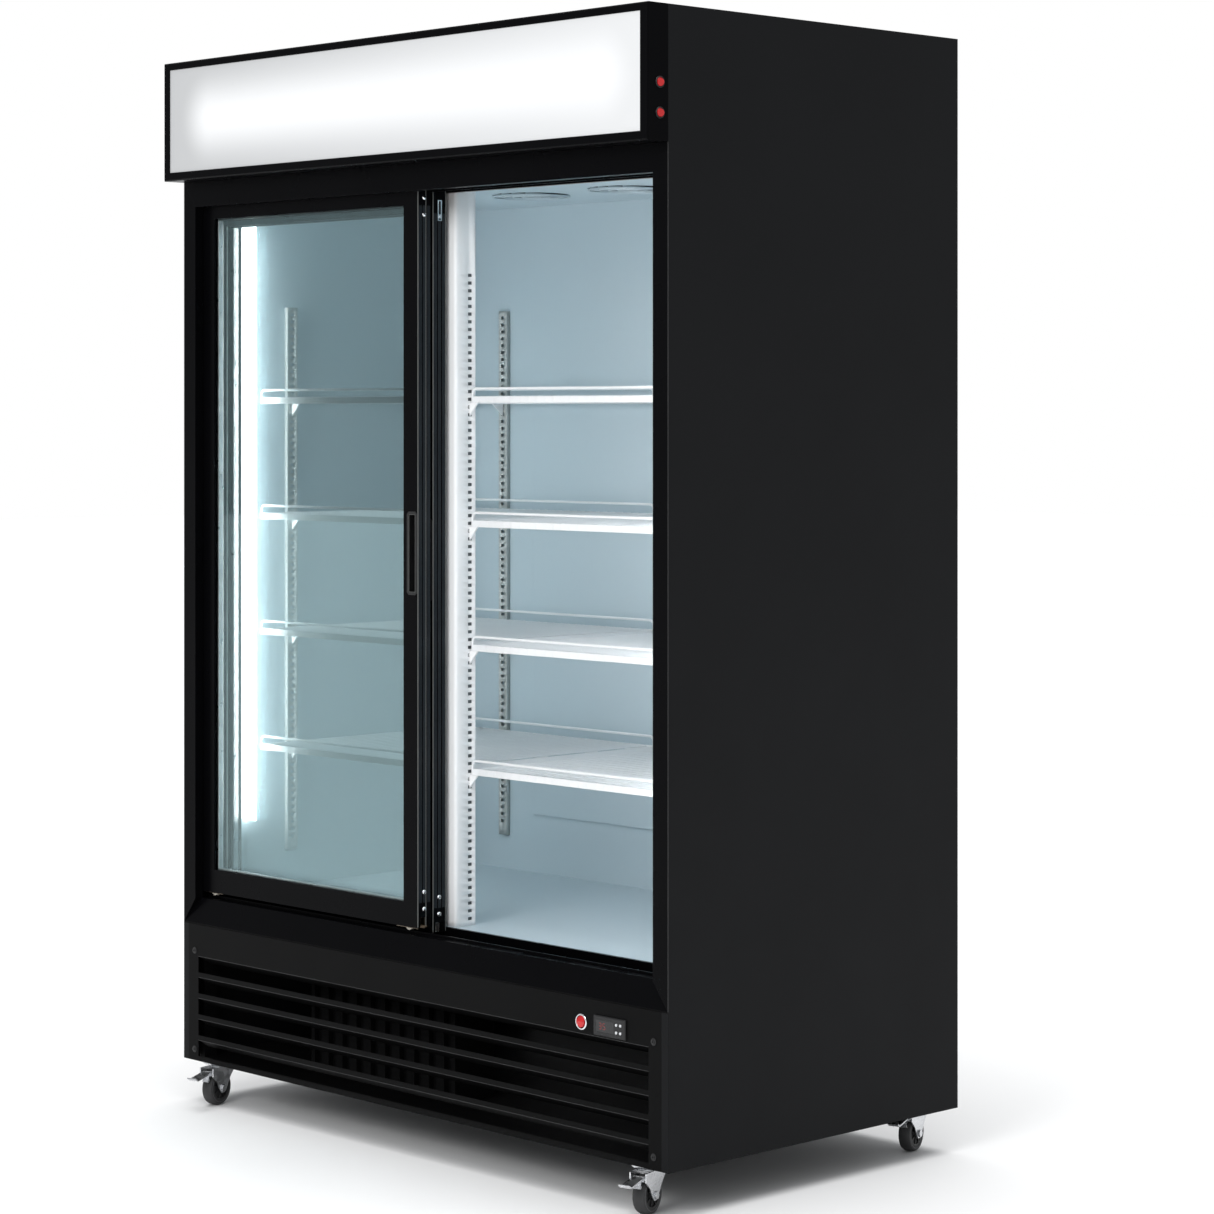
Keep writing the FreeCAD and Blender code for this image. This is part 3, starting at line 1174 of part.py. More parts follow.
def caster_fork():
    """Pressed yoke: a crown, two cranked legs, the axle with its nuts and the pedal's pivot."""
    middle = CASTER_TRAIL
    axle_low = WHEEL_RADIUS - HUB_BOSS
    ear = PEDAL_X + 2 * PIVOT_PIN
    crown = block(-FORK_NOSE, middle + AXLE_RADIUS, -LEG_OUT, LEG_OUT, FORK_LOW, FORK_TOP)
    outline = [(-FORK_NOSE, FORK_TOP), (ear, FORK_TOP), (ear, PEDAL_Z - PIVOT_BARREL),
               (middle + 2 * HUB_BOSS, PEDAL_Z - 2 * HUB_BOSS),
               (middle + HUB_BOSS, WHEEL_RADIUS - AXLE_RADIUS),
               (middle + AXLE_RADIUS, axle_low), (middle - AXLE_RADIUS, axle_low),
               (middle - HUB_BOSS, WHEEL_RADIUS - AXLE_RADIUS), (-AXLE_RADIUS, FORK_LOW - FORK_NOSE),
               (-FORK_NOSE, FORK_LOW - FORK_TOP_THICKNESS)]
    legs = [prism_y(outline, LEG_IN, LEG_OUT), prism_y(outline, -LEG_OUT, -LEG_IN)]
    within = LEG_IN + FORK_LEG / 2
    axle = drum((middle, -within, WHEEL_RADIUS), (0, 1, 0), AXLE_RADIUS, 2 * within)
    pivot = drum((PEDAL_X, -within, PEDAL_Z), (0, 1, 0), PIVOT_PIN, 2 * within)
    nuts = [polygon(middle, WHEEL_RADIUS, AXLE_NUT, y, y + AXLE_NUT_THICKNESS)
            for y in (LEG_OUT, -LEG_OUT - AXLE_NUT_THICKNESS)]
    kingpin_hole = drum((0, 0, FORK_LOW - 1), (0, 0, 1), KINGPIN + SHAFT_FIT, FORK_TOP_THICKNESS + 2)
    return fuse([crown] + legs + [axle, pivot] + nuts).cut(kingpin_hole)


def caster_wheel():
    """Wheel with its bearing bore."""
    tyre = drum((CASTER_TRAIL, -WHEEL_WIDTH / 2, WHEEL_RADIUS), (0, 1, 0), WHEEL_RADIUS, WHEEL_WIDTH)
    bore = drum((CASTER_TRAIL, -WHEEL_WIDTH, WHEEL_RADIUS), (0, 1, 0), AXLE_RADIUS + SHAFT_FIT,
                2 * WHEEL_WIDTH)
    return tyre.cut(bore)


def caster_pedal():
    """Brake pedal on its pivot, with the shoe above the tread and the foot plate outside."""
    x = PEDAL_X
    z = PEDAL_Z
    wide = PEDAL_WIDTH / 2
    top = z + PIVOT_BARREL - PIVOT_DROP
    tip = x + PEDAL_REACH
    barrel = polygon(x, z, PIVOT_BARREL, -wide, wide)
    foot = [(x, top), (tip - PEDAL_LIP, z - PEDAL_DROP), (tip, z),
            (tip + 1, z - PEDAL_THICKNESS + PIVOT_DROP),
            (tip - PEDAL_LIP, z - PEDAL_DROP - PEDAL_THICKNESS), (x, top - PEDAL_THICKNESS)]
    shoe = [(x - SHOE_BACK, z - 1), (x + SHOE_FRONT, z - 3), (x + SHOE_TIP, z - SHOE_DROP),
            (x + SHOE_FRONT, z - SHOE_DROP - 1)]
    body = [barrel, prism_y(foot, -wide, wide), prism_y(shoe, -wide + SHOE_INSET, wide - SHOE_INSET)]
    bore = drum((x, -wide - 1, z), (0, 1, 0), PIVOT_PIN + SHAFT_FIT, PEDAL_WIDTH + 2)
    return fuse(body).cut(bore)


def at_caster(shape, x, y):
    """Copy turned to the caster's heading and moved under the base."""
    return placed(shape, x, y, CASTER_HEADING)


# ---- write every sub-part ----
def save_cabinet():
    """Fixed sub-parts."""
    right_side = side_panel()
    save("side_panel_right", [right_side])
    save("side_panel_left", [mirror_x(right_side)])
    save("back_panel", [back_panel()])
    save("cable_gland", [cable_gland()])
    save("top_panel", [top_panel()])
    save("insulation", insulation())
    save("inner_liner", [inner_liner()])
    save("base_frame", base_frame())
    save("door_frame", door_frame())
    save("sign_housing", [sign_housing()])
    save("sign_panel", [sign_panel()])
    lamp = corner_lamp()
    save("lamps", [sign_lamp(), lamp, mirror_x(lamp)])
    save("centre_post", [centre_post()])
    save("shelf_standards", shelf_standards())
    save("shelf_clips", shelf_clips())
    shelves = [shelf(number) for number in SHELF_SLOTS]
    save("wire_shelves", shelves + [mirror_x(piece) for piece in shelves])
    save("grille_panel", [grille_panel()])
    save("grille_screws", grille_screws())
    save("controller", [controller()])
    bezels = [at_switch(switch_bezel(POWER_BEZEL, POWER_BARREL), "power")]
    bezels += [at_switch(switch_bezel(LIGHT_BEZEL, LIGHT_BARREL), name) for name in LIGHT_SWITCH_LIFTS]
    save("switch_bezels", bezels)
    save("compressor", [compressor()])
    save("condenser", [condenser()])
    save("evaporator_cover", evaporator_cover())
    save("evaporator_coil", [evaporator_coil()])
    save("caster_plates", [at_caster(caster_plate(), x, y) for name, x, y in CASTERS])


def save_fans_and_controls():
    """Fans, rockers and buttons."""
    middle = (PAN_TOP + CONDENSER_TOP) / 2
    save("condenser_fan", [fan((FAN_X, CONDENSER_FAN_Y, middle), False, FAN_BLADE, FAN_HUB, FAN_DEPTH)])
    for side, x in (("left", -EVAP_FAN_X), ("right", EVAP_FAN_X)):
        centre = (x, EVAP_FAN_Y, CEILING + COVER_SHEET + FAN_LIFT)
        save("evaporator_fan_" + side, [fan(centre, True, EVAP_BLADE, EVAP_FAN_HUB, EVAP_FAN_DEPTH)])
    save("power_rocker", [at_switch(rocker(POWER_BARREL), "power")])
    for name in LIGHT_SWITCH_LIFTS:
        save("light_rocker_" + name, [at_switch(rocker(LIGHT_BARREL), name)])
    for name, x, z in button_places():
        save("button_" + name, [button(x, z)])


def save_doors():
    """Both sliding doors and their rollers."""
    for name, y, drop, sealed in DOORS:
        save(name + "_frame", door_frame_members(y, drop))
        save(name + "_glass", door_glass(y, drop))
        save(name + "_handle", [door_handle(y, drop)])
        save(name + "_fittings", door_fittings(y, drop))
        if sealed:
            save(name + "_seal", [door_seal(y, drop)])
        for side, place in zip(("left", "right"), roller_places(y, drop)):
            save(name + "_roller_" + side, [roller(*place)])


def save_casters():
    """Four swivel casters: fork, wheel and brake pedal of each."""
    for name, x, y in CASTERS:
        save("caster_fork_" + name, [at_caster(caster_fork(), x, y)])
        save("caster_wheel_" + name, [at_caster(caster_wheel(), x, y)])
        save("caster_pedal_" + name, [at_caster(caster_pedal(), x, y)])


os.makedirs("parts", exist_ok=True)
save_cabinet()
save_fans_and_controls()
save_doors()
save_casters()
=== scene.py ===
"""Looks of the glass door merchandiser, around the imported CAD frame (metres, +Z up)."""

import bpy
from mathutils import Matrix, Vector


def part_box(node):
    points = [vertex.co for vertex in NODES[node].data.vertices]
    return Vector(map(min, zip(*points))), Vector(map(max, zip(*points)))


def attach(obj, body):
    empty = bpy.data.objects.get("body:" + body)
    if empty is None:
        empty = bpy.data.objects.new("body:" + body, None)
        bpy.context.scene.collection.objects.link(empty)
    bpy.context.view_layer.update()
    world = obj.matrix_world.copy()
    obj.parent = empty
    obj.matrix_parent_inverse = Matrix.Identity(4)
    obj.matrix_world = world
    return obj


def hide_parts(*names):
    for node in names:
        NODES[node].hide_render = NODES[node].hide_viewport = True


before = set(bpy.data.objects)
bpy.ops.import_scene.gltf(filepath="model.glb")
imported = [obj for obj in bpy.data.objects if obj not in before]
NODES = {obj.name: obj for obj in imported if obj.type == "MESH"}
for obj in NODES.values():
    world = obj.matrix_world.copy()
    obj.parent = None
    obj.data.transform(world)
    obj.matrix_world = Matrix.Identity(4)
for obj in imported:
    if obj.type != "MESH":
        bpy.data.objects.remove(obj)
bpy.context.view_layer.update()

import math

import bmesh
import bpy
from mathutils import Matrix, Vector

SCENE = bpy.context.scene

# ---- camera, in the cabinet's frame ----
CAMERA_AZIMUTH = 46.22
CAMERA_X = 4.5
CAMERA_Y = -4.155
CAMERA_Z = 1.35
LENS = 96.05
SENSOR = 36.0
SHIFT_UP = -0.16

# ---- shelves ----
SHELF_LEVELS = 4
DECK_PITCH = 0.022
DECK_WIRE = 0.0019
RAIL_WIRE = 0.0025
BACK_RAIL_RISE = 0.018
FRONT_RAIL_RISE = 0.0145
BAND_HEIGHT = 0.012
BAND_THICKNESS = 0.0028
SHELF_INNER = 0.028
END_BAND_DROP = 0.001
DECK_WIRE_INSET = 0.0005
DECK_WIRE_FOOT = 0.002
DECK_WIRE_BEND = 0.003
CROSS_WIRE = 0.0026
CROSS_WIRE_DROP = 0.0062
CROSS_WIRE_SHARES = (0.25, 0.5, 0.75)
RAIL_FOOT = 0.008
RAIL_BEND = 0.012

# ---- slotted uprights ----
SLOT_PITCH = 0.01425
SLOT_HALF_HEIGHT = 0.003
SLOT_HALF_WIDTH = 0.005
SLOT_FIRST_Z = 0.420
SLOT_COUNT = 84
SLOT_FROM_BACK = 0.0134
POST_BEND = 0.006
POST_SHEET = 0.0015
# Dark sheets inside the centre post behind its slots: painted shade of the hollow post.
SHADE_SHEET_INSET = 0.0040
SHADE_SHEET_HALF = 0.0005
SHADE_SHEET_REACH = 0.0085
SHADE_SHEET_END = 0.01
STANDARD_FIRST_SLOT = 6
STANDARD_END_SLOTS = 4
STANDARD_DEPTH = 0.009
STANDARD_HALF = 0.0125
STANDARD_SHEET = 0.0013
STANDARD_FROM_SIDE = 0.125
DUCT_FLANGE = 0.006

# ---- fan guards ----
GUARD_RADII = (0.018, 0.036, 0.054, 0.074)
GUARD_WIRE = 0.0016
GUARD_DROP = 0.0042

# ---- sliding doors ----
DOOR_THICKNESS = 0.030
PANE = 0.004
GLASS_EDGE = 0.0135
SPACER_SHOWING = 0.0065
SCREW_RADIUS = 0.0044
SCREW_HEIGHT = 0.0022
SCREW_INSETS = (0.034, 0.065)
CROSS_HALF_LENGTH = 0.0019
CROSS_HALF_WIDTH = 0.0005
PANE_CLEARANCE = 0.0002
BEAD = 0.0009
BEAD_SINK = 0.0003
BEAD_END = 0.002
STRIP_GAP = 0.0013
STRIP_BOTTOM = 0.0458
STRIP_TOP = 0.0483
RIM_INSET = 0.0054
RIM_SINK = 0.0006
RIM_WIRE = 0.0005
RIM_CORNER = 0.003
CATCH_PROUD = 0.0015
CATCH_DROP = 0.024
COVER_LENGTH = 0.066
COVER_HALF_DEPTH = 0.0083
EDGE_ROUND = 0.0006
HEAD_DROP = 0.049
SIDE_EDGE = 0.0007

# ---- casters ----
WHEEL_RADIUS = 0.0335
WHEEL_HALF = 0.012
AXLE_BORE = 0.00405
CASTER_HEADING = -73.7
CASTER_TRAIL = 0.020
CORNERS = ("front_left", "front_right", "rear_left", "rear_right")

# ---- grille and controls ----
GRILLE_PITCH = 0.041
GRILLE_OPENINGS = 5
GRILLE_END = 0.031
WASHER_INSET = 0.006
WASHER_HALF = 0.0052
POWER_BEZEL = 0.014
LIGHT_BEZEL = 0.010
BEZEL_PROUD = 0.002
WINDOW_INSET = 0.0072
WINDOW_WIDTH = 0.0426
WINDOW_HALF_HEIGHT = 0.0098
DIGIT_START = 0.010
DIGIT_PITCH = 0.0095
DIGIT_HALF_WIDTH = 0.0027
DIGIT_HALF_HEIGHT = 0.0050
STROKE_HALF = 0.0006
SEGMENTS = {"a": (0, 1, 1), "b": (1, 0.5, 0), "c": (1, -0.5, 0), "d": (0, -1, 1),
            "e": (-1, -0.5, 0), "f": (-1, 0.5, 0), "g": (0, 0, 1)}
DIGITS = {"3": "abcdg", "5": "acdfg"}

# ---- sign panel: how brightly it shines along its tube and at its rim ----
SIGN_BRIGHT = 0.72
SIGN_DIM = 0.42
# Rise of the rim's glow towards the right end: painted light for the brighter right side.
SIGN_RIM_PAINTED_LIGHT_SLOPE = 0.2
SIGN_TUBE_MIDDLE = 0.012
SIGN_TUBE_END = 0.125
SIGN_REACH = 0.46

# ---- light ----
SKY_SEEN = 1.0
SKY_CAST = 0.55
KEY_POWER = 120.0
SUN_STRENGTH = 2.6
SUN_SPREAD = 50

# ---- how near points are joined ----
WELD = 1e-7


# ======== small tools ========
def link(obj):
    """Put a new object in the scene."""
    SCENE.collection.objects.link(obj)
    return obj


def mesh_object(name, bm, material, smooth=True):
    """Object from a bmesh, shaded smooth with sharp creases kept."""
    bmesh.ops.recalc_face_normals(bm, faces=bm.faces)
    data = bpy.data.meshes.new(name)
    bm.to_mesh(data)
    bm.free()
    obj = link(bpy.data.objects.new(name, data))
    data.materials.append(material)
    if smooth:
        for polygon in data.polygons:
            polygon.use_smooth = True
        mark_sharp(obj)
    return obj


def mark_sharp(obj, degrees=35):
    """Keep edges sharper than the angle crisp."""
    bm = bmesh.new()
    bm.from_mesh(obj.data)
    limit = math.radians(degrees)
    for edge in bm.edges:
        if len(edge.link_faces) == 2 and edge.calc_face_angle(0) > limit:
            edge.smooth = False
    bm.to_mesh(obj.data)
    bm.free()


def bevel(obj, width):
    """Round a new piece's edges with a modifier."""
    modifier = obj.modifiers.new("edge_round", "BEVEL")
    modifier.width = width
    modifier.segments = 2
    modifier.limit_method = "ANGLE"
    modifier.angle_limit = math.radians(40)
    modifier.harden_normals = False


def weld(bm):
    """Join the points where a closed profile meets itself."""
    bmesh.ops.remove_doubles(bm, verts=bm.verts, dist=WELD)


def add_box(bm, low, high):
    """Axis-aligned box between two corners."""
    size = Vector(high) - Vector(low)
    centre = (Vector(high) + Vector(low)) / 2
    matrix = Matrix.Translation(centre) @ Matrix.Diagonal((size.x, size.y, size.z, 1.0))
    return bmesh.ops.create_cube(bm, size=1.0, matrix=matrix)["verts"]


def rounded_path(points, radius, steps=5):
    """The points with each inner corner turned into an arc."""
    corners = [Vector(point) for point in points]
    path = [corners[0]]
    for before, corner, after in zip(corners, corners[1:], corners[2:]):
        toward = (before - corner).normalized()
        away = (after - corner).normalized()
        turn = math.pi - toward.angle(away)
        cut = min(radius * math.tan(turn / 2), (before - corner).length * 0.49,
                  (after - corner).length * 0.49)
        start = corner + toward * cut
        end = corner + away * cut
        for step in range(steps + 1):
            t = step / steps
            path.append(start * (1 - t) ** 2 + corner * 2 * t * (1 - t) + end * t ** 2)
    path.append(corners[-1])
    return path


def add_tube(bm, path, radius, sides=10):
    """Round wire along a path, with closed ends."""
    points = [Vector(point) for point in path]
    tangent = (points[1] - points[0]).normalized()
    guide = Vector((0, 0, 1)) if abs(tangent.z) < 0.9 else Vector((1, 0, 0))
    normal = tangent.cross(guide).normalized()
    rings = []
    for index, point in enumerate(points):
        if index == 0:
            along = (points[1] - point).normalized()
        elif index == len(points) - 1:
            along = (point - points[-2]).normalized()
        else:
            along = ((points[index + 1] - point).normalized()
                     + (point - points[index - 1]).normalized()).normalized()
        normal = (normal - along * normal.dot(along)).normalized()
        side = along.cross(normal)
        ring = []
        for step in range(sides):
            angle = 2 * math.pi * step / sides
            spoke = normal * math.cos(angle) + side * math.sin(angle)
            ring.append(bm.verts.new(point + spoke * radius))
        rings.append(ring)
    for first, second in zip(rings, rings[1:]):
        for step in range(sides):
            after = (step + 1) % sides
            bm.faces.new((first[step], first[after], second[after], second[step]))
    bm.faces.new(rings[0])
    bm.faces.new(list(reversed(rings[-1])))


def add_lathe(bm, profile, matrix, steps=48):
    """Turn a (radius, along) profile about the local Z axis and place it."""
    rings = []
    for radius, along in profile:
        if radius < 1e-6:
            rings.append([bm.verts.new(matrix @ Vector((0, 0, along)))])
            continue
        ring = []
        for step in range(steps):
            angle = 2 * math.pi * step / steps
            point = Vector((radius * math.cos(angle), radius * math.sin(angle), along))
            ring.append(bm.verts.new(matrix @ point))
        rings.append(ring)
    for first, second in zip(rings, rings[1:]):
        for step in range(steps):
            after = (step + 1) % steps
            if len(first) == 1:
                bm.faces.new((first[0], second[after], second[step]))
            elif len(second) == 1:
                bm.faces.new((first[step], first[after], second[0]))
            else:
                bm.faces.new((first[step], first[after], second[after], second[step]))


def aim(place, direction):
    """Matrix that takes local Z to a direction, at a place."""
    turn = Vector((0, 0, 1)).rotation_difference(Vector(direction).normalized())
    return Matrix.Translation(Vector(place)) @ turn.to_matrix().to_4x4()


# ======== materials ========
def new_material(name, colour, roughness, metallic=0.0, specular=0.5):
    """Principled material with its plain values set on the shader."""
    material = bpy.data.materials.new(name)
    material.use_nodes = True
    shader = material.node_tree.nodes["Principled BSDF"]
    shader.inputs["Base Color"].default_value = (*colour, 1.0)
    shader.inputs["Roughness"].default_value = roughness
    shader.inputs["Metallic"].default_value = metallic
    shader.inputs["Specular IOR Level"].default_value = specular
    return material


def node(material, kind, **values):
    """New node with some of its inputs or settings set."""
    made = material.node_tree.nodes.new(kind)
    for name, value in values.items():
        if name in made.inputs:
            made.inputs[name].default_value = value
        else:
            setattr(made, name, value)
    return made


def wire(material, source, target):
    """Link two sockets."""
    material.node_tree.links.new(source, target)


def object_coords(material):
    """Object coordinates, which are metres on this cabinet."""
    return node(material, "ShaderNodeTexCoord").outputs["Object"]


def mottle(material, low, high, scale, detail=3.0):
    """Base colour that drifts between two close tones."""
    noise = node(material, "ShaderNodeTexNoise", Scale=scale, Detail=detail)
    wire(material, object_coords(material), noise.inputs["Vector"])
    ramp = node(material, "ShaderNodeValToRGB")
    ramp.color_ramp.elements[0].position = 0.3
    ramp.color_ramp.elements[0].color = (*low, 1.0)
    ramp.color_ramp.elements[1].position = 0.7
    ramp.color_ramp.elements[1].color = (*high, 1.0)
    wire(material, noise.outputs["Fac"], ramp.inputs["Fac"])
    wire(material, ramp.outputs["Color"], shader_of(material).inputs["Base Color"])
    return material


def shader_of(material):
    """The material's Principled node."""
    return material.node_tree.nodes["Principled BSDF"]


def rough_drift(material, low, high, scale):
    """Roughness that drifts between two values."""
    noise = node(material, "ShaderNodeTexNoise", Scale=scale, Detail=4.0)
    wire(material, object_coords(material), noise.inputs["Vector"])
    spread = node(material, "ShaderNodeMapRange")
    spread.inputs["From Min"].default_value = 0.3
    spread.inputs["From Max"].default_value = 0.7
    spread.inputs["To Min"].default_value = low
    spread.inputs["To Max"].default_value = high
    wire(material, noise.outputs["Fac"], spread.inputs["Value"])
    wire(material, spread.outputs["Result"], shader_of(material).inputs["Roughness"])
    return material


def grain(material, scale, strength, stretch=(1.0, 1.0, 1.0), edge=0.0):
    """Fine bump, which a stretch turns into brushing, over edges that shade as rounded."""
    mapping = node(material, "ShaderNodeMapping")
    mapping.inputs["Scale"].default_value = stretch
    wire(material, object_coords(material), mapping.inputs["Vector"])
    noise = node(material, "ShaderNodeTexNoise", Scale=scale, Detail=4.0)
    wire(material, mapping.outputs["Vector"], noise.inputs["Vector"])
    bump = node(material, "ShaderNodeBump", Strength=strength, Distance=0.0004)
    wire(material, noise.outputs["Fac"], bump.inputs["Height"])
    if edge:
        soft = node(material, "ShaderNodeBevel", Radius=edge)
        wire(material, soft.outputs["Normal"], bump.inputs["Normal"])
    wire(material, bump.outputs["Normal"], shader_of(material).inputs["Normal"])
    return material


def painted(name, low, high, roughness, specular, bump=0.12, drift=0.02, edge=0.0012):
    """Powder-coated steel: close tones, orange peel and slightly uneven gloss."""
    material = new_material(name, low, roughness, specular=specular)
    mottle(material, low, high, 3.0)
    rough_drift(material, roughness - drift, roughness + drift, 9.0)
    return grain(material, 650.0, bump, edge=edge)


def metal(name, colour, roughness, bump=0.15):
    """Plated or rolled metal with a faint brushed direction."""
    material = new_material(name, colour, roughness, metallic=1.0)
    darker = tuple(part * 0.82 for part in colour)
    mottle(material, darker, colour, 25.0)
    rough_drift(material, roughness * 0.75, roughness * 1.35, 60.0)
    return grain(material, 240.0, bump, stretch=(1.0, 1.0, 14.0), edge=0.0005)


def moulded(name, colour, roughness, bump=0.2, scale=900.0):
    """Moulded plastic with a fine spark-eroded grain."""
    material = new_material(name, colour, roughness, specular=0.4)
    brighter = tuple(min(1.0, part * 1.25 + 0.002) for part in colour)
    mottle(material, colour, brighter, 40.0)
    rough_drift(material, roughness - 0.06, roughness + 0.08, 70.0)
    return grain(material, scale, bump, edge=0.0005)


def glowing(name, colour, strength):
    """Lit part that glows evenly over a faintly mottled base."""
    material = new_material(name, (0.9, 0.9, 0.9), 0.35)
    shader = shader_of(material)
    shader.inputs["Emission Color"].default_value = (*colour, 1.0)
    shader.inputs["Emission Strength"].default_value = strength
    return grain(mottle(material, (0.86, 0.88, 0.9), (0.95, 0.96, 0.97), 12.0), 300.0, 0.05)


def door_glass_material(name):
    """Clear tinted pane: light passes with a blue-green tint, and the surface mirrors by angle."""
    material = bpy.data.materials.new(name)
    material.use_nodes = True
    tree = material.node_tree
    tree.nodes.remove(tree.nodes["Principled BSDF"])
    output = tree.nodes["Material Output"]
    clear = node(material, "ShaderNodeBsdfTransparent")
    gloss = node(material, "ShaderNodeBsdfGlossy")
    gloss.inputs["Roughness"].default_value = 0.02
    gloss.inputs["Color"].default_value = (0.72, 0.96, 1.0, 1.0)
    mix = node(material, "ShaderNodeMixShader")
    facing = node(material, "ShaderNodeLayerWeight", Blend=0.5)
    steep = node(material, "ShaderNodeMath", operation="POWER")
    wire(material, facing.outputs["Facing"], steep.inputs[0])
    steep.inputs[1].default_value = 5.0
    mirror = scaled(material, steep.outputs[0], 0.95, 0.05)
    noise = node(material, "ShaderNodeTexNoise", Scale=2.5, Detail=2.0)
    wire(material, object_coords(material), noise.inputs["Vector"])
    ramp = node(material, "ShaderNodeValToRGB")
    ramp.color_ramp.elements[0].color = (0.979, 0.995, 0.995, 1.0)
    ramp.color_ramp.elements[1].color = (0.981, 0.996, 0.997, 1.0)
    wire(material, noise.outputs["Fac"], ramp.inputs["Fac"])
    wire(material, ramp.outputs["Color"], clear.inputs["Color"])
    wire(material, mirror, mix.inputs["Fac"])
    wire(material, clear.outputs["BSDF"], mix.inputs[1])
    wire(material, gloss.outputs["BSDF"], mix.inputs[2])
    wire(material, mix.outputs["Shader"], output.inputs["Surface"])
    return material


def sign_material(name, middle_z, half_length, half_height):
    """Panel lit by the tube behind it: bright along the middle, grey towards the rim, with painted
    light that brightens the rim towards its right end.
    """
    material = new_material(name, (0.25, 0.255, 0.26), 0.3)
    split = node(material, "ShaderNodeSeparateXYZ")
    wire(material, object_coords(material), split.inputs["Vector"])
    from_middle = absolute(material, scaled(material, split.outputs["X"], 1.0, -SIGN_TUBE_MIDDLE))
    past_end = scaled(material, from_middle, 1.0, -half_length)
    beyond = clamped(material, past_end)
    off_axis = scaled(material, split.outputs["Z"], 1.0, -middle_z)
    along = node(material, "ShaderNodeCombineXYZ")
    wire(material, beyond, along.inputs["X"])
    wire(material, off_axis, along.inputs["Z"])
    length = node(material, "ShaderNodeVectorMath", operation="LENGTH")
    wire(material, along.outputs["Vector"], length.inputs[0])
    spread = node(material, "ShaderNodeMapRange")
    spread.interpolation_type = "SMOOTHSTEP"
    spread.inputs["From Min"].default_value = 0.0
    spread.inputs["From Max"].default_value = half_height
    spread.inputs["To Min"].default_value = SIGN_BRIGHT
    # Rim glow grows with X: painted light, a brighter right end.
    rim = scaled(material, split.outputs["X"], SIGN_RIM_PAINTED_LIGHT_SLOPE, SIGN_DIM)
    wire(material, rim, spread.inputs["To Max"])
    wire(material, length.outputs["Value"], spread.inputs["Value"])
    shader = shader_of(material)
    shader.inputs["Emission Color"].default_value = (0.98, 0.99, 1.0, 1.0)
    wire(material, spread.outputs["Result"], shader.inputs["Emission Strength"])
    return material


def absolute(material, socket):
    """Absolute value of a socket."""
    made = node(material, "ShaderNodeMath", operation="ABSOLUTE")
    wire(material, socket, made.inputs[0])
    return made.outputs[0]


def scaled(material, socket, factor, offset):
    """socket * factor + offset."""
    made = node(material, "ShaderNodeMath", operation="MULTIPLY_ADD")
    wire(material, socket, made.inputs[0])
    made.inputs[1].default_value = factor
    made.inputs[2].default_value = offset
    return made.outputs[0]


def clamped(material, socket):
    """Socket, or 0 where it is negative."""
    made = node(material, "ShaderNodeMath", operation="MAXIMUM")
    wire(material, socket, made.inputs[0])
    made.inputs[1].default_value = 0.0
    return made.outputs[0]


BLACK_STEEL = painted("black_steel", (0.0052, 0.0055, 0.0062), (0.0060, 0.0064, 0.0072),
                      0.5, 0.09)
GLOSS_BLACK = painted("gloss_black", (0.0014, 0.0014, 0.0018), (0.0019, 0.0019, 0.0024),
                      0.28, 0.035, 0.05)
GRILLE_BLACK = painted("grille_black", (0.0034, 0.0034, 0.0035), (0.0042, 0.0042, 0.0043),
                       0.48, 0.045)
BLACK_PLASTIC = moulded("black_plastic", (0.005, 0.005, 0.0055), 0.4)
LINER = painted("liner_paint", (0.50, 0.594, 0.645), (0.506, 0.60, 0.651), 0.36, 0.4, 0.03, 0.006)
WHITE_STEEL = painted("white_steel", (0.84, 0.85, 0.86), (0.87, 0.88, 0.885), 0.36, 0.45, 0.08)
# Lighter than the gloss black frame: painted sheen for the doors' closing edges.
DOOR_EDGE_SHEEN = painted("door_edge_painted_sheen", (0.011, 0.0135, 0.0165), (0.014, 0.0168, 0.020), 0.3, 0.15, 0.05)
WHITE_WIRE = painted("white_wire", (0.78, 0.80, 0.815), (0.84, 0.855, 0.865), 0.3, 0.5, 0.08)
STANDARD = painted("standard_paint", (0.46, 0.48, 0.47), (0.50, 0.52, 0.51), 0.34, 0.5)
# Painted shade for the inside of the centre post, behind its slots.
SLOT_SHADE = painted("slot_shade", (0.13, 0.15, 0.16), (0.15, 0.17, 0.18), 0.6, 0.2)
CHROME = metal("bright_chrome", (0.82, 0.83, 0.85), 0.12, bump=0.03)
ZINC = metal("bright_zinc", (0.72, 0.73, 0.75), 0.27, bump=0.1)
SPACER = metal("spacer_aluminium", (0.78, 0.79, 0.78), 0.34)
FOAM = moulded("foam", (0.62, 0.5, 0.24), 0.85, 0.6, 220.0)
# Black of the compressor and the glass's edge sealant; on the base frame, the slots and the screw
# recesses it is painted shade.
BLACK_AND_PAINTED_SHADE = painted("black_and_painted_shade", (0.004, 0.004, 0.0043), (0.006, 0.006, 0.0063), 0.55, 0.1)
# Painted shade: metal coils made near black for the shade of the machine compartment.
COIL_PAINTED_SHADE = painted("coil_painted_shade", (0.004, 0.004, 0.0042), (0.006, 0.006, 0.0062), 0.6, 0.05, 0.4)
RUBBER = moulded("tread_rubber", (0.028, 0.028, 0.029), 0.62, 0.35, 500.0)
HUB_PLASTIC = moulded("hub_plastic", (0.009, 0.009, 0.0095), 0.36)
RED = new_material("red_switch", (0.5, 0.006, 0.008), 0.22)
grain(mottle(RED, (0.42, 0.004, 0.006), (0.58, 0.01, 0.012), 90.0), 800.0, 0.05)
SILVER_BUTTON = moulded("silver_button", (0.62, 0.63, 0.65), 0.3, 0.08)
SEAL_WHITE = moulded("seal_white", (0.88, 0.89, 0.84), 0.5, 0.15)
NYLON = moulded("roller_nylon", (0.62, 0.58, 0.5), 0.45)
GLASS = door_glass_material("tinted_glass")
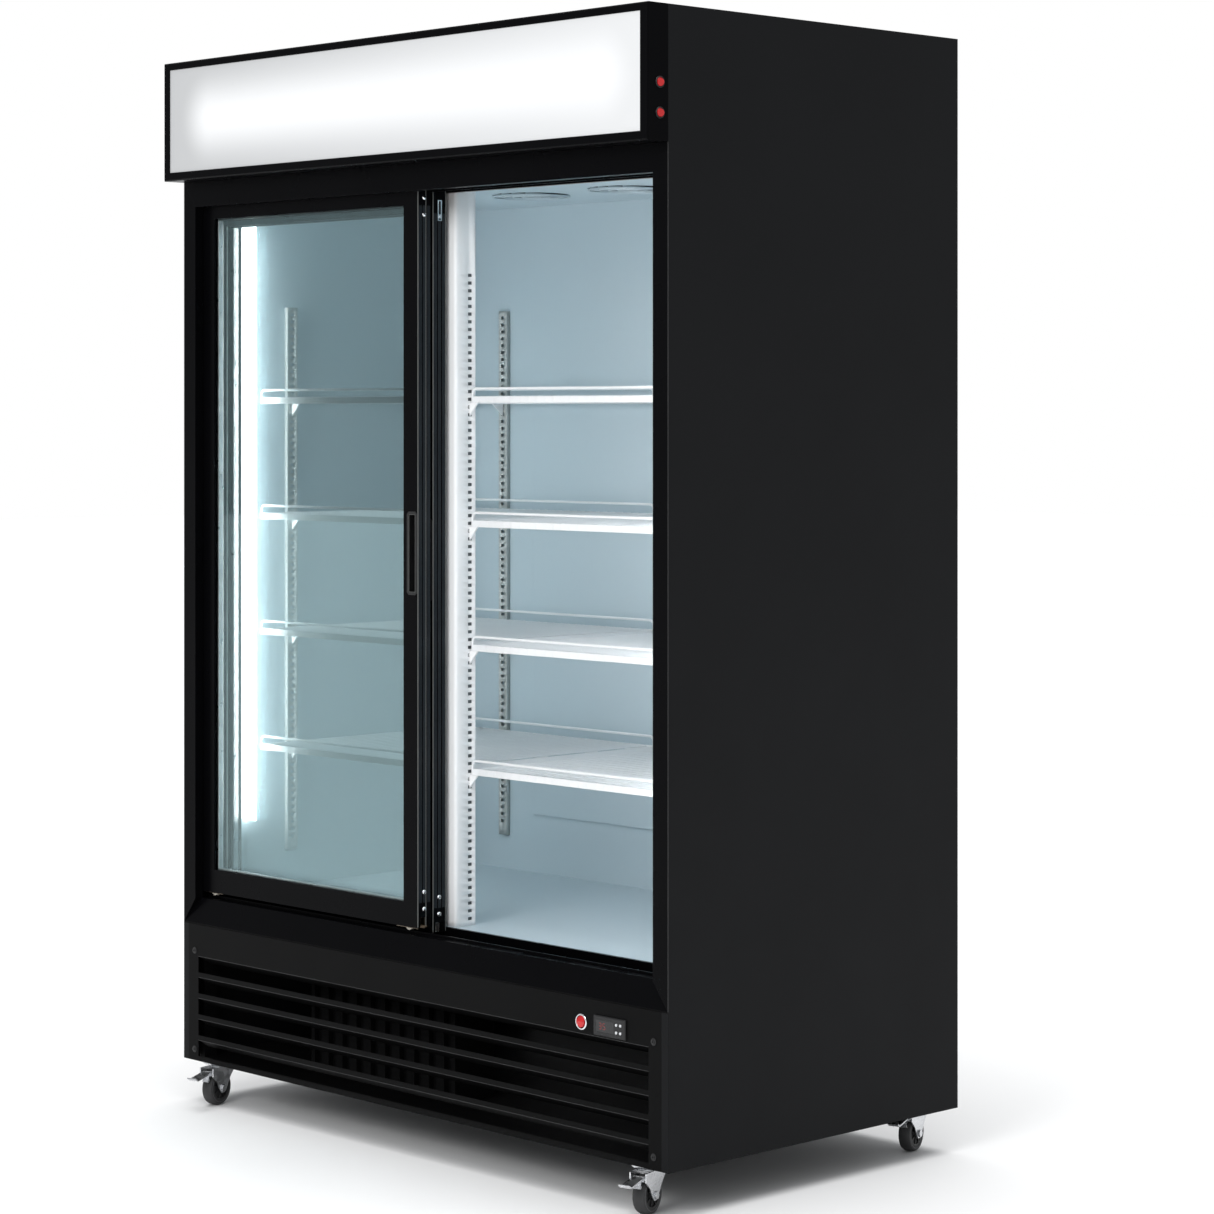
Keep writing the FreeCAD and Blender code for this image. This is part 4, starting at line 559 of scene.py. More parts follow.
LED_GLOW = glowing("led_diffuser", (1.0, 1.0, 1.0), 11.5)
TRIM = metal("track_trim", (0.36, 0.32, 0.30), 0.4)
# Light grey for the fine lines on door corners and handle rims: painted highlight.
EDGE_HIGHLIGHT_GREY = painted("painted_edge_highlight", (0.10, 0.105, 0.10), (0.12, 0.125, 0.12), 0.35, 0.4)
CARRIAGE = metal("carriage_steel", (0.20, 0.165, 0.13), 0.42)
# Grey for the thin lines on sheet and grille bar edges: painted highlight.
EDGE_GLINT_GREY = painted("painted_edge_glint", (0.035, 0.035, 0.036), (0.045, 0.045, 0.046), 0.35, 0.4)
TAN = moulded("carriage_tan", (0.16, 0.115, 0.075), 0.5)
WINDOW = new_material("smoked_window", (0.006, 0.006, 0.007), 0.12)
grain(mottle(WINDOW, (0.005, 0.005, 0.006), (0.008, 0.008, 0.009), 60.0), 500.0, 0.03)
TREAD_BAND = moulded("tread_band", (0.075, 0.075, 0.078), 0.55, 0.3, 500.0)
DIGIT = glowing("display_segment", (1.0, 0.04, 0.03), 0.1)
mottle(DIGIT, (0.10, 0.004, 0.004), (0.12, 0.006, 0.005), 60.0)

CAD_LOOKS = {
    "side_panel_left": BLACK_STEEL, "side_panel_right": BLACK_STEEL, "back_panel": BLACK_STEEL,
    "top_panel": BLACK_STEEL, "sign_housing": GLOSS_BLACK, "grille_panel": GRILLE_BLACK,
    "cable_gland": BLACK_PLASTIC, "insulation": FOAM,
    "inner_liner": LINER, "evaporator_cover": LINER,
    # The base frame's black is painted shade of the compartment behind the grille.
    "base_frame": BLACK_AND_PAINTED_SHADE, "door_frame": GLOSS_BLACK, "front_door_frame": GLOSS_BLACK,
    "rear_door_frame": GLOSS_BLACK, "centre_post": WHITE_STEEL, "shelf_clips": WHITE_STEEL,
    "shelf_standards": STANDARD, "wire_shelves": WHITE_WIRE, "grille_screws": BLACK_PLASTIC,
    "controller": BLACK_PLASTIC, "switch_bezels": CHROME, "front_door_fittings": CARRIAGE,
    # The condenser's near black is painted shade of the compartment behind the grille.
    "rear_door_fittings": CHROME, "compressor": BLACK_AND_PAINTED_SHADE, "condenser": COIL_PAINTED_SHADE,
    "evaporator_coil": COIL_PAINTED_SHADE, "caster_plates": ZINC, "condenser_fan": BLACK_PLASTIC,
    "evaporator_fan_left": BLACK_PLASTIC, "evaporator_fan_right": BLACK_PLASTIC,
    "power_rocker": RED, "light_rocker_upper": RED, "light_rocker_lower": RED,
    "front_door_handle": BLACK_PLASTIC, "rear_door_handle": BLACK_PLASTIC,
    "rear_door_seal": SEAL_WHITE, "lamps": LED_GLOW,
}


def dress_cad_nodes():
    """Give every CAD node its material, which also shades its edges as rounded."""
    looks = dict(CAD_LOOKS)
    for name in NODES:
        if name.startswith("button_"):
            looks[name] = SILVER_BUTTON
        elif name.startswith("caster_wheel"):
            looks[name] = RUBBER
        elif name.startswith("caster_"):
            looks[name] = ZINC
        elif "_roller_" in name:
            looks[name] = NYLON
        elif name.endswith("_glass"):
            looks[name] = GLASS
    panel_low, panel_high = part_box("sign_panel")
    looks["sign_panel"] = sign_material("sign_acrylic", (panel_low[2] + panel_high[2]) / 2,
                                        panel_high[0] - SIGN_TUBE_END,
                                        (panel_high[2] - panel_low[2]) * SIGN_REACH)
    for name, material in looks.items():
        obj = NODES[name]
        obj.data.materials.clear()
        obj.data.materials.append(material)


# ======== shelves ========
def deck_heights():
    """Top of each shelf's deck, from the CAD node's box."""
    low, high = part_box("wire_shelves")
    lowest = low[2] + BAND_HEIGHT
    highest = high[2] - BACK_RAIL_RISE - RAIL_WIRE
    step = (highest - lowest) / (SHELF_LEVELS - 1)
    return [lowest + step * level for level in range(SHELF_LEVELS)]


def add_rail(bm, x0, x1, y, deck, rise):
    """Raised rail that bends down into the band at both ends."""
    top = deck + rise
    foot = deck - RAIL_FOOT
    points = [(x0, y, foot), (x0, y, top), (x1, y, top), (x1, y, foot)]
    add_tube(bm, rounded_path(points, RAIL_BEND, 6), RAIL_WIRE)


def wire_shelf(name, x0, x1, deck):
    """One epoxy-coated wire shelf."""
    low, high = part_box("wire_shelves")
    y0 = low[1]
    y1 = high[1]
    bm = bmesh.new()
    inset = RAIL_WIRE
    half_band = BAND_THICKNESS / 2
    for y in (y0 + inset, y1 - inset):
        add_box(bm, (x0, y - half_band, deck - BAND_HEIGHT), (x1, y + half_band, deck))
    for x in (x0 + inset, x1 - inset):
        add_box(bm, (x - half_band, y0 + inset, deck - BAND_HEIGHT),
                (x + half_band, y1 - inset, deck - END_BAND_DROP))
    count = int((x1 - x0) / DECK_PITCH)
    pitch = (x1 - x0) / count
    front = y0 + DECK_WIRE_INSET + DECK_WIRE
    back = y1 - DECK_WIRE_INSET - DECK_WIRE
    foot = deck - BAND_HEIGHT + DECK_WIRE_FOOT
    top = deck - DECK_WIRE * 0.5
    for index in range(1, count):
        x = x0 + index * pitch
        path = [(x, front, foot), (x, front, top), (x, back, top), (x, back, foot)]
        add_tube(bm, rounded_path(path, DECK_WIRE_BEND, 3), DECK_WIRE, 8)
    cross_z = deck - CROSS_WIRE_DROP
    for share in CROSS_WIRE_SHARES:
        y = y0 + (y1 - y0) * share
        add_tube(bm, [(x0 + inset, y, cross_z), (x1 - inset, y, cross_z)], CROSS_WIRE, 10)
    add_rail(bm, x0 + inset, x1 - inset, y0 + inset, deck, FRONT_RAIL_RISE)
    add_rail(bm, x0 + inset, x1 - inset, y1 - inset, deck, BACK_RAIL_RISE)
    obj = mesh_object(name, bm, WHITE_WIRE)
    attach(obj, "cabinet")
    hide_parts("wire_shelves")


def wire_shelves():
    """Both columns of shelves."""
    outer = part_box("wire_shelves")[1][0]
    for level, deck in enumerate(deck_heights()):
        wire_shelf(f"shelf_left_{level}", -outer, -SHELF_INNER, deck)
        wire_shelf(f"shelf_right_{level}", SHELF_INNER, outer, deck)


# ======== glass ========
def door_glass(door):
    """Two tinted panes with their spacer and black edge sealant."""
    low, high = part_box(door + "_glass")
    bm = bmesh.new()
    for y in (low[1], high[1] - PANE):
        add_box(bm, (low[0], y, low[2]), (high[0], y + PANE, high[2]))
    panes = mesh_object(door + "_panes", bm, GLASS, smooth=False)
    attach(panes, door)
    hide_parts(door + "_glass")
    bm = bmesh.new()
    inset = GLASS_EDGE
    tall = SPACER_SHOWING
    x0 = low[0] + inset
    x1 = high[0] - inset
    z0 = low[2] + inset
    z1 = high[2] - inset
    y0 = low[1] + PANE + PANE_CLEARANCE
    y1 = high[1] - PANE - PANE_CLEARANCE
    add_box(bm, (x0 - tall, y0, z0 - tall), (x0, y1, z1))
    add_box(bm, (x0, y0, z0 - tall), (x1, y1, z0))
    spacer = mesh_object(door + "_spacer", bm, SPACER, smooth=False)
    bevel(spacer, EDGE_ROUND)
    bm = bmesh.new()
    add_box(bm, (x1, y0, z0 - tall), (x1 + tall, y1, z1 + tall))
    add_box(bm, (x0 - tall, y0, z1), (x1, y1, z1 + tall))
    sealant = mesh_object(door + "_sealant", bm, BLACK_AND_PAINTED_SHADE, smooth=False)
    for piece in (spacer, sealant):
        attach(piece, door)


# ======== slotted uprights ========
def slot_bands(first, count):
    """Lower and upper level of each slot, so that every second band is a row of slots."""
    levels = []
    for number in range(first, count):
        middle = SLOT_FIRST_Z + number * SLOT_PITCH
        levels += [middle - SLOT_HALF_HEIGHT, middle + SLOT_HALF_HEIGHT]
    return levels


def swept_strip(bm, outline, levels, slot_runs, closed, matrix=Matrix()):
    """Sheet along an (x, y) outline; the runs in slot_runs are open at every second band."""
    columns = [[bm.verts.new(matrix @ Vector((x, y, z))) for z in levels] for x, y in outline]
    runs = len(outline) if closed else len(outline) - 1
    for run in range(runs):
        first = columns[run]
        second = columns[(run + 1) % len(columns)]
        for band in range(len(levels) - 1):
            if run in slot_runs and band % 2 == 1:
                continue
            bm.faces.new((first[band], second[band], second[band + 1], first[band + 1]))


def sheet_object(name, bm, material, thickness):
    """Swept sheet given its metal thickness, inwards."""
    bmesh.ops.remove_doubles(bm, verts=bm.verts, dist=1e-6)
    obj = mesh_object(name, bm, material)
    solid = obj.modifiers.new("sheet", "SOLIDIFY")
    solid.thickness = thickness
    solid.offset = -1.0
    return obj


def centre_post():
    """Folded white upright with a row of slots in each side."""
    low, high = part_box("centre_post")
    half = high[0]
    front = low[1]
    back = high[1]
    slot_y = back - SLOT_FROM_BACK
    arc = [(half - POST_BEND + POST_BEND * math.cos(a),
            front + POST_BEND - POST_BEND * math.sin(a))
           for a in (math.radians(18 * step) for step in range(6))]
    right = [(half, back), (half, slot_y + SLOT_HALF_WIDTH), (half, slot_y - SLOT_HALF_WIDTH)]
    right += arc
    left = [(-x, y) for x, y in reversed(right)]
    levels = [low[2]] + slot_bands(0, SLOT_COUNT) + [high[2]]
    bm = bmesh.new()
    outline = right + left
    swept_strip(bm, outline, levels, {1, len(outline) - 3}, True)
    post = sheet_object("centre_post_sheet", bm, WHITE_STEEL, POST_SHEET)
    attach(post, "cabinet")
    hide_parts("centre_post")
    slot_shade_sheets(half - SHADE_SHEET_INSET, slot_y, low[2] + SHADE_SHEET_END, high[2] - SHADE_SHEET_END)


def slot_shade_sheets(half, slot_y, bottom, top):
    """Painted shade: dark strips inside the centre post, close behind its rows of slots, for the
    shade inside the hollow post.
    """
    bm = bmesh.new()
    for x in (-half, half):
        add_box(bm, (x - SHADE_SHEET_HALF, slot_y - SHADE_SHEET_REACH, bottom),
                (x + SHADE_SHEET_HALF, slot_y + SHADE_SHEET_REACH, top))
    # Dark strips behind the slots: painted shade.
    strip = mesh_object("post_slot_painted_shade", bm, SLOT_SHADE, smooth=False)
    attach(strip, "cabinet")


def shelf_standards():
    """Slotted channels: one on each side wall and three at the back."""
    low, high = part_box("shelf_standards")
    side_y = low[1] + STANDARD_HALF
    room_back = high[1]
    duct_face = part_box("evaporator_cover")[1][1] - DUCT_FLANGE
    back_x = high[0] - STANDARD_FROM_SIDE
    turn = math.radians(-90)
    places = [(low[0], side_y, 0.0), (high[0], side_y, math.pi), (-back_x, room_back, turn),
              (back_x, room_back, turn), (0.0, duct_face, turn)]
    count = SLOT_COUNT - STANDARD_END_SLOTS
    levels = [low[2]] + slot_bands(STANDARD_FIRST_SLOT, count) + [high[2]]
    outline = [(0.0, -STANDARD_HALF), (STANDARD_DEPTH, -STANDARD_HALF),
               (STANDARD_DEPTH, -SLOT_HALF_WIDTH), (STANDARD_DEPTH, SLOT_HALF_WIDTH),
               (STANDARD_DEPTH, STANDARD_HALF), (0.0, STANDARD_HALF)]
    for number, (x, y, angle) in enumerate(places):
        bm = bmesh.new()
        matrix = Matrix.Translation((x, y, 0.0)) @ Matrix.Rotation(angle, 4, "Z")
        swept_strip(bm, outline, levels, {2}, False, matrix)
        strip = sheet_object(f"shelf_standard_{number}", bm, STANDARD, STANDARD_SHEET)
        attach(strip, "cabinet")
        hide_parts("shelf_standards")


# ======== fans and lamps ========
def circle(centre, radius, steps=40):
    """Closed ring of points in a level plane."""
    x, y, z = centre
    points = []
    for step in range(steps + 1):
        angle = 2 * math.pi * step / steps
        points.append((x + radius * math.cos(angle), y + radius * math.sin(angle), z))
    return points


def fan_guards():
    """Round wire guard under each evaporator fan."""
    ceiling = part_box("centre_post")[1][2]
    for side in ("left", "right"):
        low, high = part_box("evaporator_fan_" + side)
        centre = ((low[0] + high[0]) / 2, (low[1] + high[1]) / 2, ceiling - GUARD_DROP)
        bm = bmesh.new()
        for radius in GUARD_RADII:
            add_tube(bm, circle(centre, radius), GUARD_WIRE, 6)
        guard = mesh_object("fan_guard_" + side, bm, LINER)
        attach(guard, "cabinet")


# ======== door details ========
def dome(bm, place, direction, radius, height):
    """Low round screw head."""
    profile = [(0.0, height), (radius * 0.35, height * 0.96), (radius * 0.7, height * 0.72),
               (radius * 0.93, height * 0.3), (radius, 0.0), (0.0, 0.0)]
    add_lathe(bm, profile, aim(place, direction), 20)


def edge_screws(door, both_ends):
    """Chrome screws in the closing edge of a door, each with a dark cross standing for its recess:
    painted shade.
    """
    low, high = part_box(door + "_frame")
    middle = (low[1] + high[1]) / 2
    heights = [low[2] + inset for inset in SCREW_INSETS]
    heights += [high[2] - inset for inset in SCREW_INSETS] if both_ends else []
    heads = bmesh.new()
    marks = bmesh.new()
    for z in heights:
        dome(heads, (high[0], middle, z), (1, 0, 0), SCREW_RADIUS, SCREW_HEIGHT)
        for tall, wide in ((CROSS_HALF_LENGTH, CROSS_HALF_WIDTH),
                           (CROSS_HALF_WIDTH, CROSS_HALF_LENGTH)):
            add_box(marks, (high[0] + 0.0016, middle - wide, z - tall),
                    (high[0] + 0.00225, middle + wide, z + tall))
    screws = mesh_object(door + "_screw_heads", heads, CHROME)
    # Dark cross in each screw head: painted shade for the recess.
    cross = mesh_object(door + "_screw_recess_shade", marks, BLACK_AND_PAINTED_SHADE, smooth=False)
    for piece in (screws, cross):
        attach(piece, door)


def edge_highlight_beads(door, corners):
    """Painted highlights: fine light grey beads down the corners of a door's closing edge, for the
    light its corners catch.
    """
    low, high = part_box(door + "_frame")
    bm = bmesh.new()
    x = high[0] - BEAD_SINK
    for share in corners:
        y = low[1] + share * (high[1] - low[1])
        add_tube(bm, [(x, y, low[2] + BEAD_END), (x, y, high[2] - BEAD_END)], BEAD, 8)
    # Light grey beads on the corners: painted highlight.
    beads = mesh_object(door + "_edge_highlight_beads", bm, EDGE_HIGHLIGHT_GREY)
    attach(beads, door)


def edge_sheen_strips(door):
    """Painted sheen: a door's closing edge made lighter than the gloss black frame, in three flats
    between its two ribs.
    """
    low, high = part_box(door + "_frame")
    bm = bmesh.new()
    third = DOOR_THICKNESS / 3
    for flat in range(3):
        y0 = low[1] + flat * third + STRIP_GAP
        add_box(bm, (high[0] - 0.0004, y0, low[2] + STRIP_BOTTOM),
                (high[0] + 0.0002, y0 + third - 2 * STRIP_GAP, high[2] - STRIP_TOP))
    # Lighter plates on the closing edge: painted sheen.
    strips = mesh_object(door + "_edge_sheen_strips", bm, DOOR_EDGE_SHEEN, smooth=False)
    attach(strips, door)


def catch_plate():
    """Slot and fixing screw of the plate at the top of the rear door's edge; the slot is a dark
    box, painted shade.
    """
    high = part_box("rear_door_frame")[1]
    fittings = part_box("rear_door_fittings")
    middle = (fittings[0][1] + fittings[1][1]) / 2
    top = high[2] - CATCH_DROP
    face = high[0] + CATCH_PROUD
    bm = bmesh.new()
    for half, bottom, end in ((0.0022, 0.026, 0.002), (0.0018, 0.0365, 0.0335)):
        add_box(bm, (face - 0.0008, middle - half, top - bottom),
                (face + 0.0001, middle + half, top - end))
    # Dark boxes for the slot: painted shade.
    slot = mesh_object("catch_slot_shade", bm, BLACK_AND_PAINTED_SHADE, smooth=False)
    bm = bmesh.new()
    dome(bm, (face, middle, top - 0.0295), (1, 0, 0), 0.0032, 0.0011)
    screw = mesh_object("catch_screw", bm, CHROME)
    for piece in (slot, screw):
        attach(piece, "rear_door")


def handle_rim_highlight(door):
    """Painted highlight: thin light grey line round a cup handle's recess, for the light its rim
    catches.
    """
    low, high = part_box(door + "_handle")
    y = low[1] + RIM_SINK
    x0 = low[0] + RIM_INSET
    x1 = high[0] - RIM_INSET
    z0 = low[2] + RIM_INSET
    z1 = high[2] - RIM_INSET
    bm = bmesh.new()
    start = (x0, y, (z0 + z1) / 2)
    path = [start, (x0, y, z1), (x1, y, z1), (x1, y, z0), (x0, y, z0), start]
    add_tube(bm, rounded_path(path, RIM_CORNER, 4), RIM_WIRE, 6)
    # Light grey line round the recess: painted highlight.
    rim = mesh_object(door + "_handle_rim_highlight", bm, EDGE_HIGHLIGHT_GREY)
    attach(rim, door)


def door_wiper():
    """Tan carriage cover that shows under the front door's closing corner."""
    low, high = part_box("front_door_frame")
    middle = (low[1] + high[1]) / 2
    bm = bmesh.new()
    add_box(bm, (high[0] - COVER_LENGTH, middle - COVER_HALF_DEPTH, low[2] + 0.0002),
            (high[0] - 0.002, middle + COVER_HALF_DEPTH, low[2] + 0.0035))
    cover = mesh_object("front_door_carriage_cover", bm, TAN, smooth=False)
    bevel(cover, EDGE_ROUND)
    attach(cover, "front_door")


def head_trim():
    """Bare metal strip along the rear lip of the frame's head."""
    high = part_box("door_frame")[1]
    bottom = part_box("sign_housing")[0][2] - HEAD_DROP
    bm = bmesh.new()
    x = high[0] - 0.040
    add_box(bm, (-x, high[1] - 0.0066, bottom - 0.0006), (x, high[1] - 0.0004, bottom + 0.0002))
    strip = mesh_object("head_trim", bm, TRIM, smooth=False)
    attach(strip, "cabinet")


def side_edge_glints():
    """Painted highlight: thin grey line down the front edge of each side sheet beside the door
    frame.
    """
    low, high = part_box("side_panel_right")
    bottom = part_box("door_frame")[0][2]
    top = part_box("sign_housing")[0][2]
    bm = bmesh.new()
    for side in (-1, 1):
        x = side * (high[0] - SIDE_EDGE)
        y = low[1] + 0.0003
        add_tube(bm, [(x, y, bottom), (x, y, top - 0.0005)], SIDE_EDGE, 8)
    # Grey lines on the sheet edges: painted highlight.
    edges = mesh_object("side_sheet_edge_glints", bm, EDGE_GLINT_GREY)
    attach(edges, "cabinet")


# ======== grille and controls ========
def grille_edge_glints():
    """Painted highlight: thin grey line along the folded lower edge of each grille bar, for the
    light that edge catches.
    """
    low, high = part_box("grille_panel")
    bm = bmesh.new()
    reach = high[0] - GRILLE_END
    y = low[1] + 0.0006
    for row in range(1, GRILLE_OPENINGS + 1):
        z = low[2] + row * GRILLE_PITCH
        add_tube(bm, [(-reach, y, z), (reach, y, z)], 0.0007, 8)
    # Grey lines on the bar edges: painted highlight.
    edges = mesh_object("grille_bar_edge_glints", bm, EDGE_GLINT_GREY)
    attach(edges, "cabinet")


def grille_screws():
    """Black washer-head screws, each with a dark cross standing for its recess: painted shade."""
    low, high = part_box("grille_screws")
    face = high[1]
    profile = [(0.0, 0.0029), (0.002, 0.0028), (0.0034, 0.0022), (0.0038, 0.0010),
               (0.0062, 0.0007), (0.0064, 0.0), (0.0, 0.0)]
    heads = bmesh.new()
    marks = bmesh.new()
    for x in (low[0] + WASHER_INSET, high[0] - WASHER_INSET):
        for z in (low[2] + WASHER_HALF, high[2] - WASHER_HALF):
            add_lathe(heads, profile, aim((x, face, z), (0, -1, 0)), 24)
            for up, wide in ((CROSS_HALF_LENGTH, CROSS_HALF_WIDTH),
                             (CROSS_HALF_WIDTH, CROSS_HALF_LENGTH)):
                add_box(marks, (x - wide, face - 0.00295, z - up),
                        (x + wide, face - 0.0022, z + up))
    screws = mesh_object("grille_screw_heads", heads, BLACK_PLASTIC)
    # Dark cross in each screw head: painted shade for the recess.
    cross = mesh_object("grille_screw_recess_shade", marks, BLACK_AND_PAINTED_SHADE, smooth=False)
    for piece in (screws, cross):
        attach(piece, "cabinet")
    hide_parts("grille_screws")


def switch_bezels():
    """Chrome ring round the power switch and black rings round the two light switches."""
    profile = [(1.0, 0.0), (0.99, 0.55), (0.94, 0.9), (0.87, 1.0), (0.81, 0.9), (0.785, 0.3),
               (0.78, -1.5), (0.84, -1.5), (0.85, 0.0), (1.0, 0.0)]
    for name, body, radius, direction, material in (
            ("power", "power_rocker", POWER_BEZEL, (0, -1, 0), CHROME),
            ("light_upper", "light_rocker_upper", LIGHT_BEZEL, (1, 0, 0), BLACK_PLASTIC),
            ("light_lower", "light_rocker_lower", LIGHT_BEZEL, (1, 0, 0), BLACK_PLASTIC)):
        low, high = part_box(body)
        place = [(a + b) / 2 for a, b in zip(low, high)]
        if name == "power":
            place[1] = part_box("grille_panel")[0][1]
        else:
            place[0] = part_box("sign_housing")[1][0]
        bm = bmesh.new()
        scaled_profile = [(r * radius, z * BEZEL_PROUD) for r, z in profile]
        add_lathe(bm, scaled_profile, aim(place, direction), 40)
        weld(bm)
        ring = mesh_object("bezel_" + name, bm, material)
        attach(ring, "cabinet")
        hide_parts("switch_bezels")


def buttons():
    """Small round silver keys of the controller."""
    for name in [name for name in NODES if name.startswith("button_")]:
        low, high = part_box(name)
        x = (low[0] + high[0]) / 2
        z = (low[2] + high[2]) / 2
        height = high[1] - low[1]
        profile = [(0.0, height), (0.0013, height * 0.995), (0.0021, height * 0.95),
                   (0.00245, height * 0.84), (0.0025, 0.0), (0.0, 0.0)]
        bm = bmesh.new()
        add_lathe(bm, profile, aim((x, high[1], z), (0, -1, 0)), 24)
        cap = mesh_object(name + "_cap", bm, SILVER_BUTTON)
        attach(cap, name)
        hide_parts(name)


def display():
    """Smoked window with two dim red digits."""
    low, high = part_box("controller")
    x0 = low[0] + WINDOW_INSET
    z = (low[2] + high[2]) / 2
    face = low[1]
    bm = bmesh.new()
    add_box(bm, (x0, face + 0.0002, z - WINDOW_HALF_HEIGHT),
            (x0 + WINDOW_WIDTH, face + 0.0009, z + WINDOW_HALF_HEIGHT))
    window = mesh_object("display_window", bm, WINDOW, smooth=False)
    bm = bmesh.new()
    for place, digit in enumerate("35"):
        x = x0 + DIGIT_START + place * DIGIT_PITCH
        for segment in DIGITS[digit]:
            across, up, flat = SEGMENTS[segment]
            cx = x + across * DIGIT_HALF_WIDTH
            cz = z + up * DIGIT_HALF_HEIGHT
            wide = 0.0022 if flat else STROKE_HALF
            tall = STROKE_HALF if flat else 0.0021
            add_box(bm, (cx - wide, face + 0.0001, cz - tall),
                    (cx + wide, face + 0.0004, cz + tall))
    digits = mesh_object("display_digits", bm, DIGIT, smooth=False)
    for piece in (window, digits):
        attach(piece, "cabinet")


# ======== casters ========
def caster_wheel(corner):
    """Rubber tread on a ribbed black hub."""
    name = "caster_wheel_" + corner
    low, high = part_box(name)
    centre = [(a + b) / 2 for a, b in zip(low, high)]
    heading = math.radians(CASTER_HEADING)
    axis = (-math.sin(heading), math.cos(heading), 0.0)
    place = aim(centre, axis)
    half = WHEEL_HALF
    radius = WHEEL_RADIUS
    tread_profile = [(0.0225, -half + 0.0012), (0.0285, -half + 0.0006), (0.0312, -half + 0.0010),
                     (radius - 0.0012, -half + 0.0030), (radius - 0.0002, -half + 0.0055),
                     (radius, 0.0),
                     (radius - 0.0002, half - 0.0055), (radius - 0.0012, half - 0.0030),
                     (0.0312, half - 0.0010), (0.0285, half - 0.0006), (0.0225, half - 0.0012),
                     (0.0225, -half + 0.0012)]
    bm = bmesh.new()
    add_lathe(bm, tread_profile, place, 56)
    weld(bm)
    tread = mesh_object(name + "_tread", bm, RUBBER)
    bm = bmesh.new()
    for side in (-1, 1):
        ring = [(0.0268, side * (half - 0.0010)), (0.0268, side * (half - 0.00035)),
                (0.0282, side * (half - 0.00025)), (0.0284, side * (half - 0.0010)),
                (0.0268, side * (half - 0.0010))]
        add_lathe(bm, ring, place, 56)
    weld(bm)
    bands = mesh_object(name + "_bands", bm, TREAD_BAND)
    hub_profile = [(AXLE_BORE, -half), (0.0085, -half), (0.0092, -half + 0.0030),
                   (0.0200, -half + 0.0038), (0.0208, -half + 0.0012),
                   (0.0226, -half + 0.0010), (0.0226, half - 0.0010),
                   (0.0208, half - 0.0012), (0.0200, half - 0.0038), (0.0092, half - 0.0030),
                   (0.0085, half), (AXLE_BORE, half), (AXLE_BORE, -half)]
    bm = bmesh.new()
    add_lathe(bm, hub_profile, place, 56)
    for rib in range(8):
        turned = place @ Matrix.Rotation(math.radians(45 * rib), 4, "Z")
        for side in (-1, 1):
            verts = add_box(bm, (0.0085, -0.0009, side * (half - 0.0025) - 0.0016),
                            (0.0204, 0.0009, side * (half - 0.0025) + 0.0016))
            bmesh.ops.transform(bm, matrix=turned, verts=verts)
    weld(bm)
    hub = mesh_object(name + "_hub", bm, HUB_PLASTIC)
    for piece in (tread, bands, hub):
        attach(piece, name)
    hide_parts(name)
    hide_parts(name)


def caster_race(corner):
    """Domed bearing race between a caster's top plate and its fork."""
    low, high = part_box("caster_wheel_" + corner)
    heading = math.radians(CASTER_HEADING)
    x = (low[0] + high[0]) / 2 - CASTER_TRAIL * math.cos(heading)
    y = (low[1] + high[1]) / 2 - CASTER_TRAIL * math.sin(heading)
    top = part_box("caster_fork_" + corner)[1][2]
    bm = bmesh.new()
    profile = [(0.0090, 0.0002), (0.0225, 0.0002), (0.0232, 0.0010), (0.0225, 0.0022),
               (0.0205, 0.0036),
               (0.0090, 0.0036), (0.0090, 0.0002)]
    add_lathe(bm, profile, Matrix.Translation((x, y, top)), 40)
    weld(bm)
    race = mesh_object("caster_race_" + corner, bm, ZINC)
    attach(race, "caster_fork_" + corner)


# ======== stage, lights and camera ========
def stage():
    """Pale floor that runs out of sight."""
    bm = bmesh.new()
    bmesh.ops.create_grid(bm, x_segments=8, y_segments=8, size=30.0)
    material = new_material("floor_paint", (0.86, 0.86, 0.86), 0.6, specular=0.2)
    grain(mottle(material, (0.85, 0.85, 0.85), (0.87, 0.87, 0.87), 2.0), 60.0, 0.02)
    floor = mesh_object("floor", bm, material, smooth=False)


def area_light(name, place, target, size, power):
    """Soft box that faces a point."""
    data = bpy.data.lights.new(name, "AREA")
    data.shape = "RECTANGLE"
    data.size = size[0]
    data.size_y = size[1]
    data.energy = power
    obj = link(bpy.data.objects.new(name, data))
    obj.location = place
    obj.rotation_euler = (Vector(target) - Vector(place)).to_track_quat("-Z", "Y").to_euler()


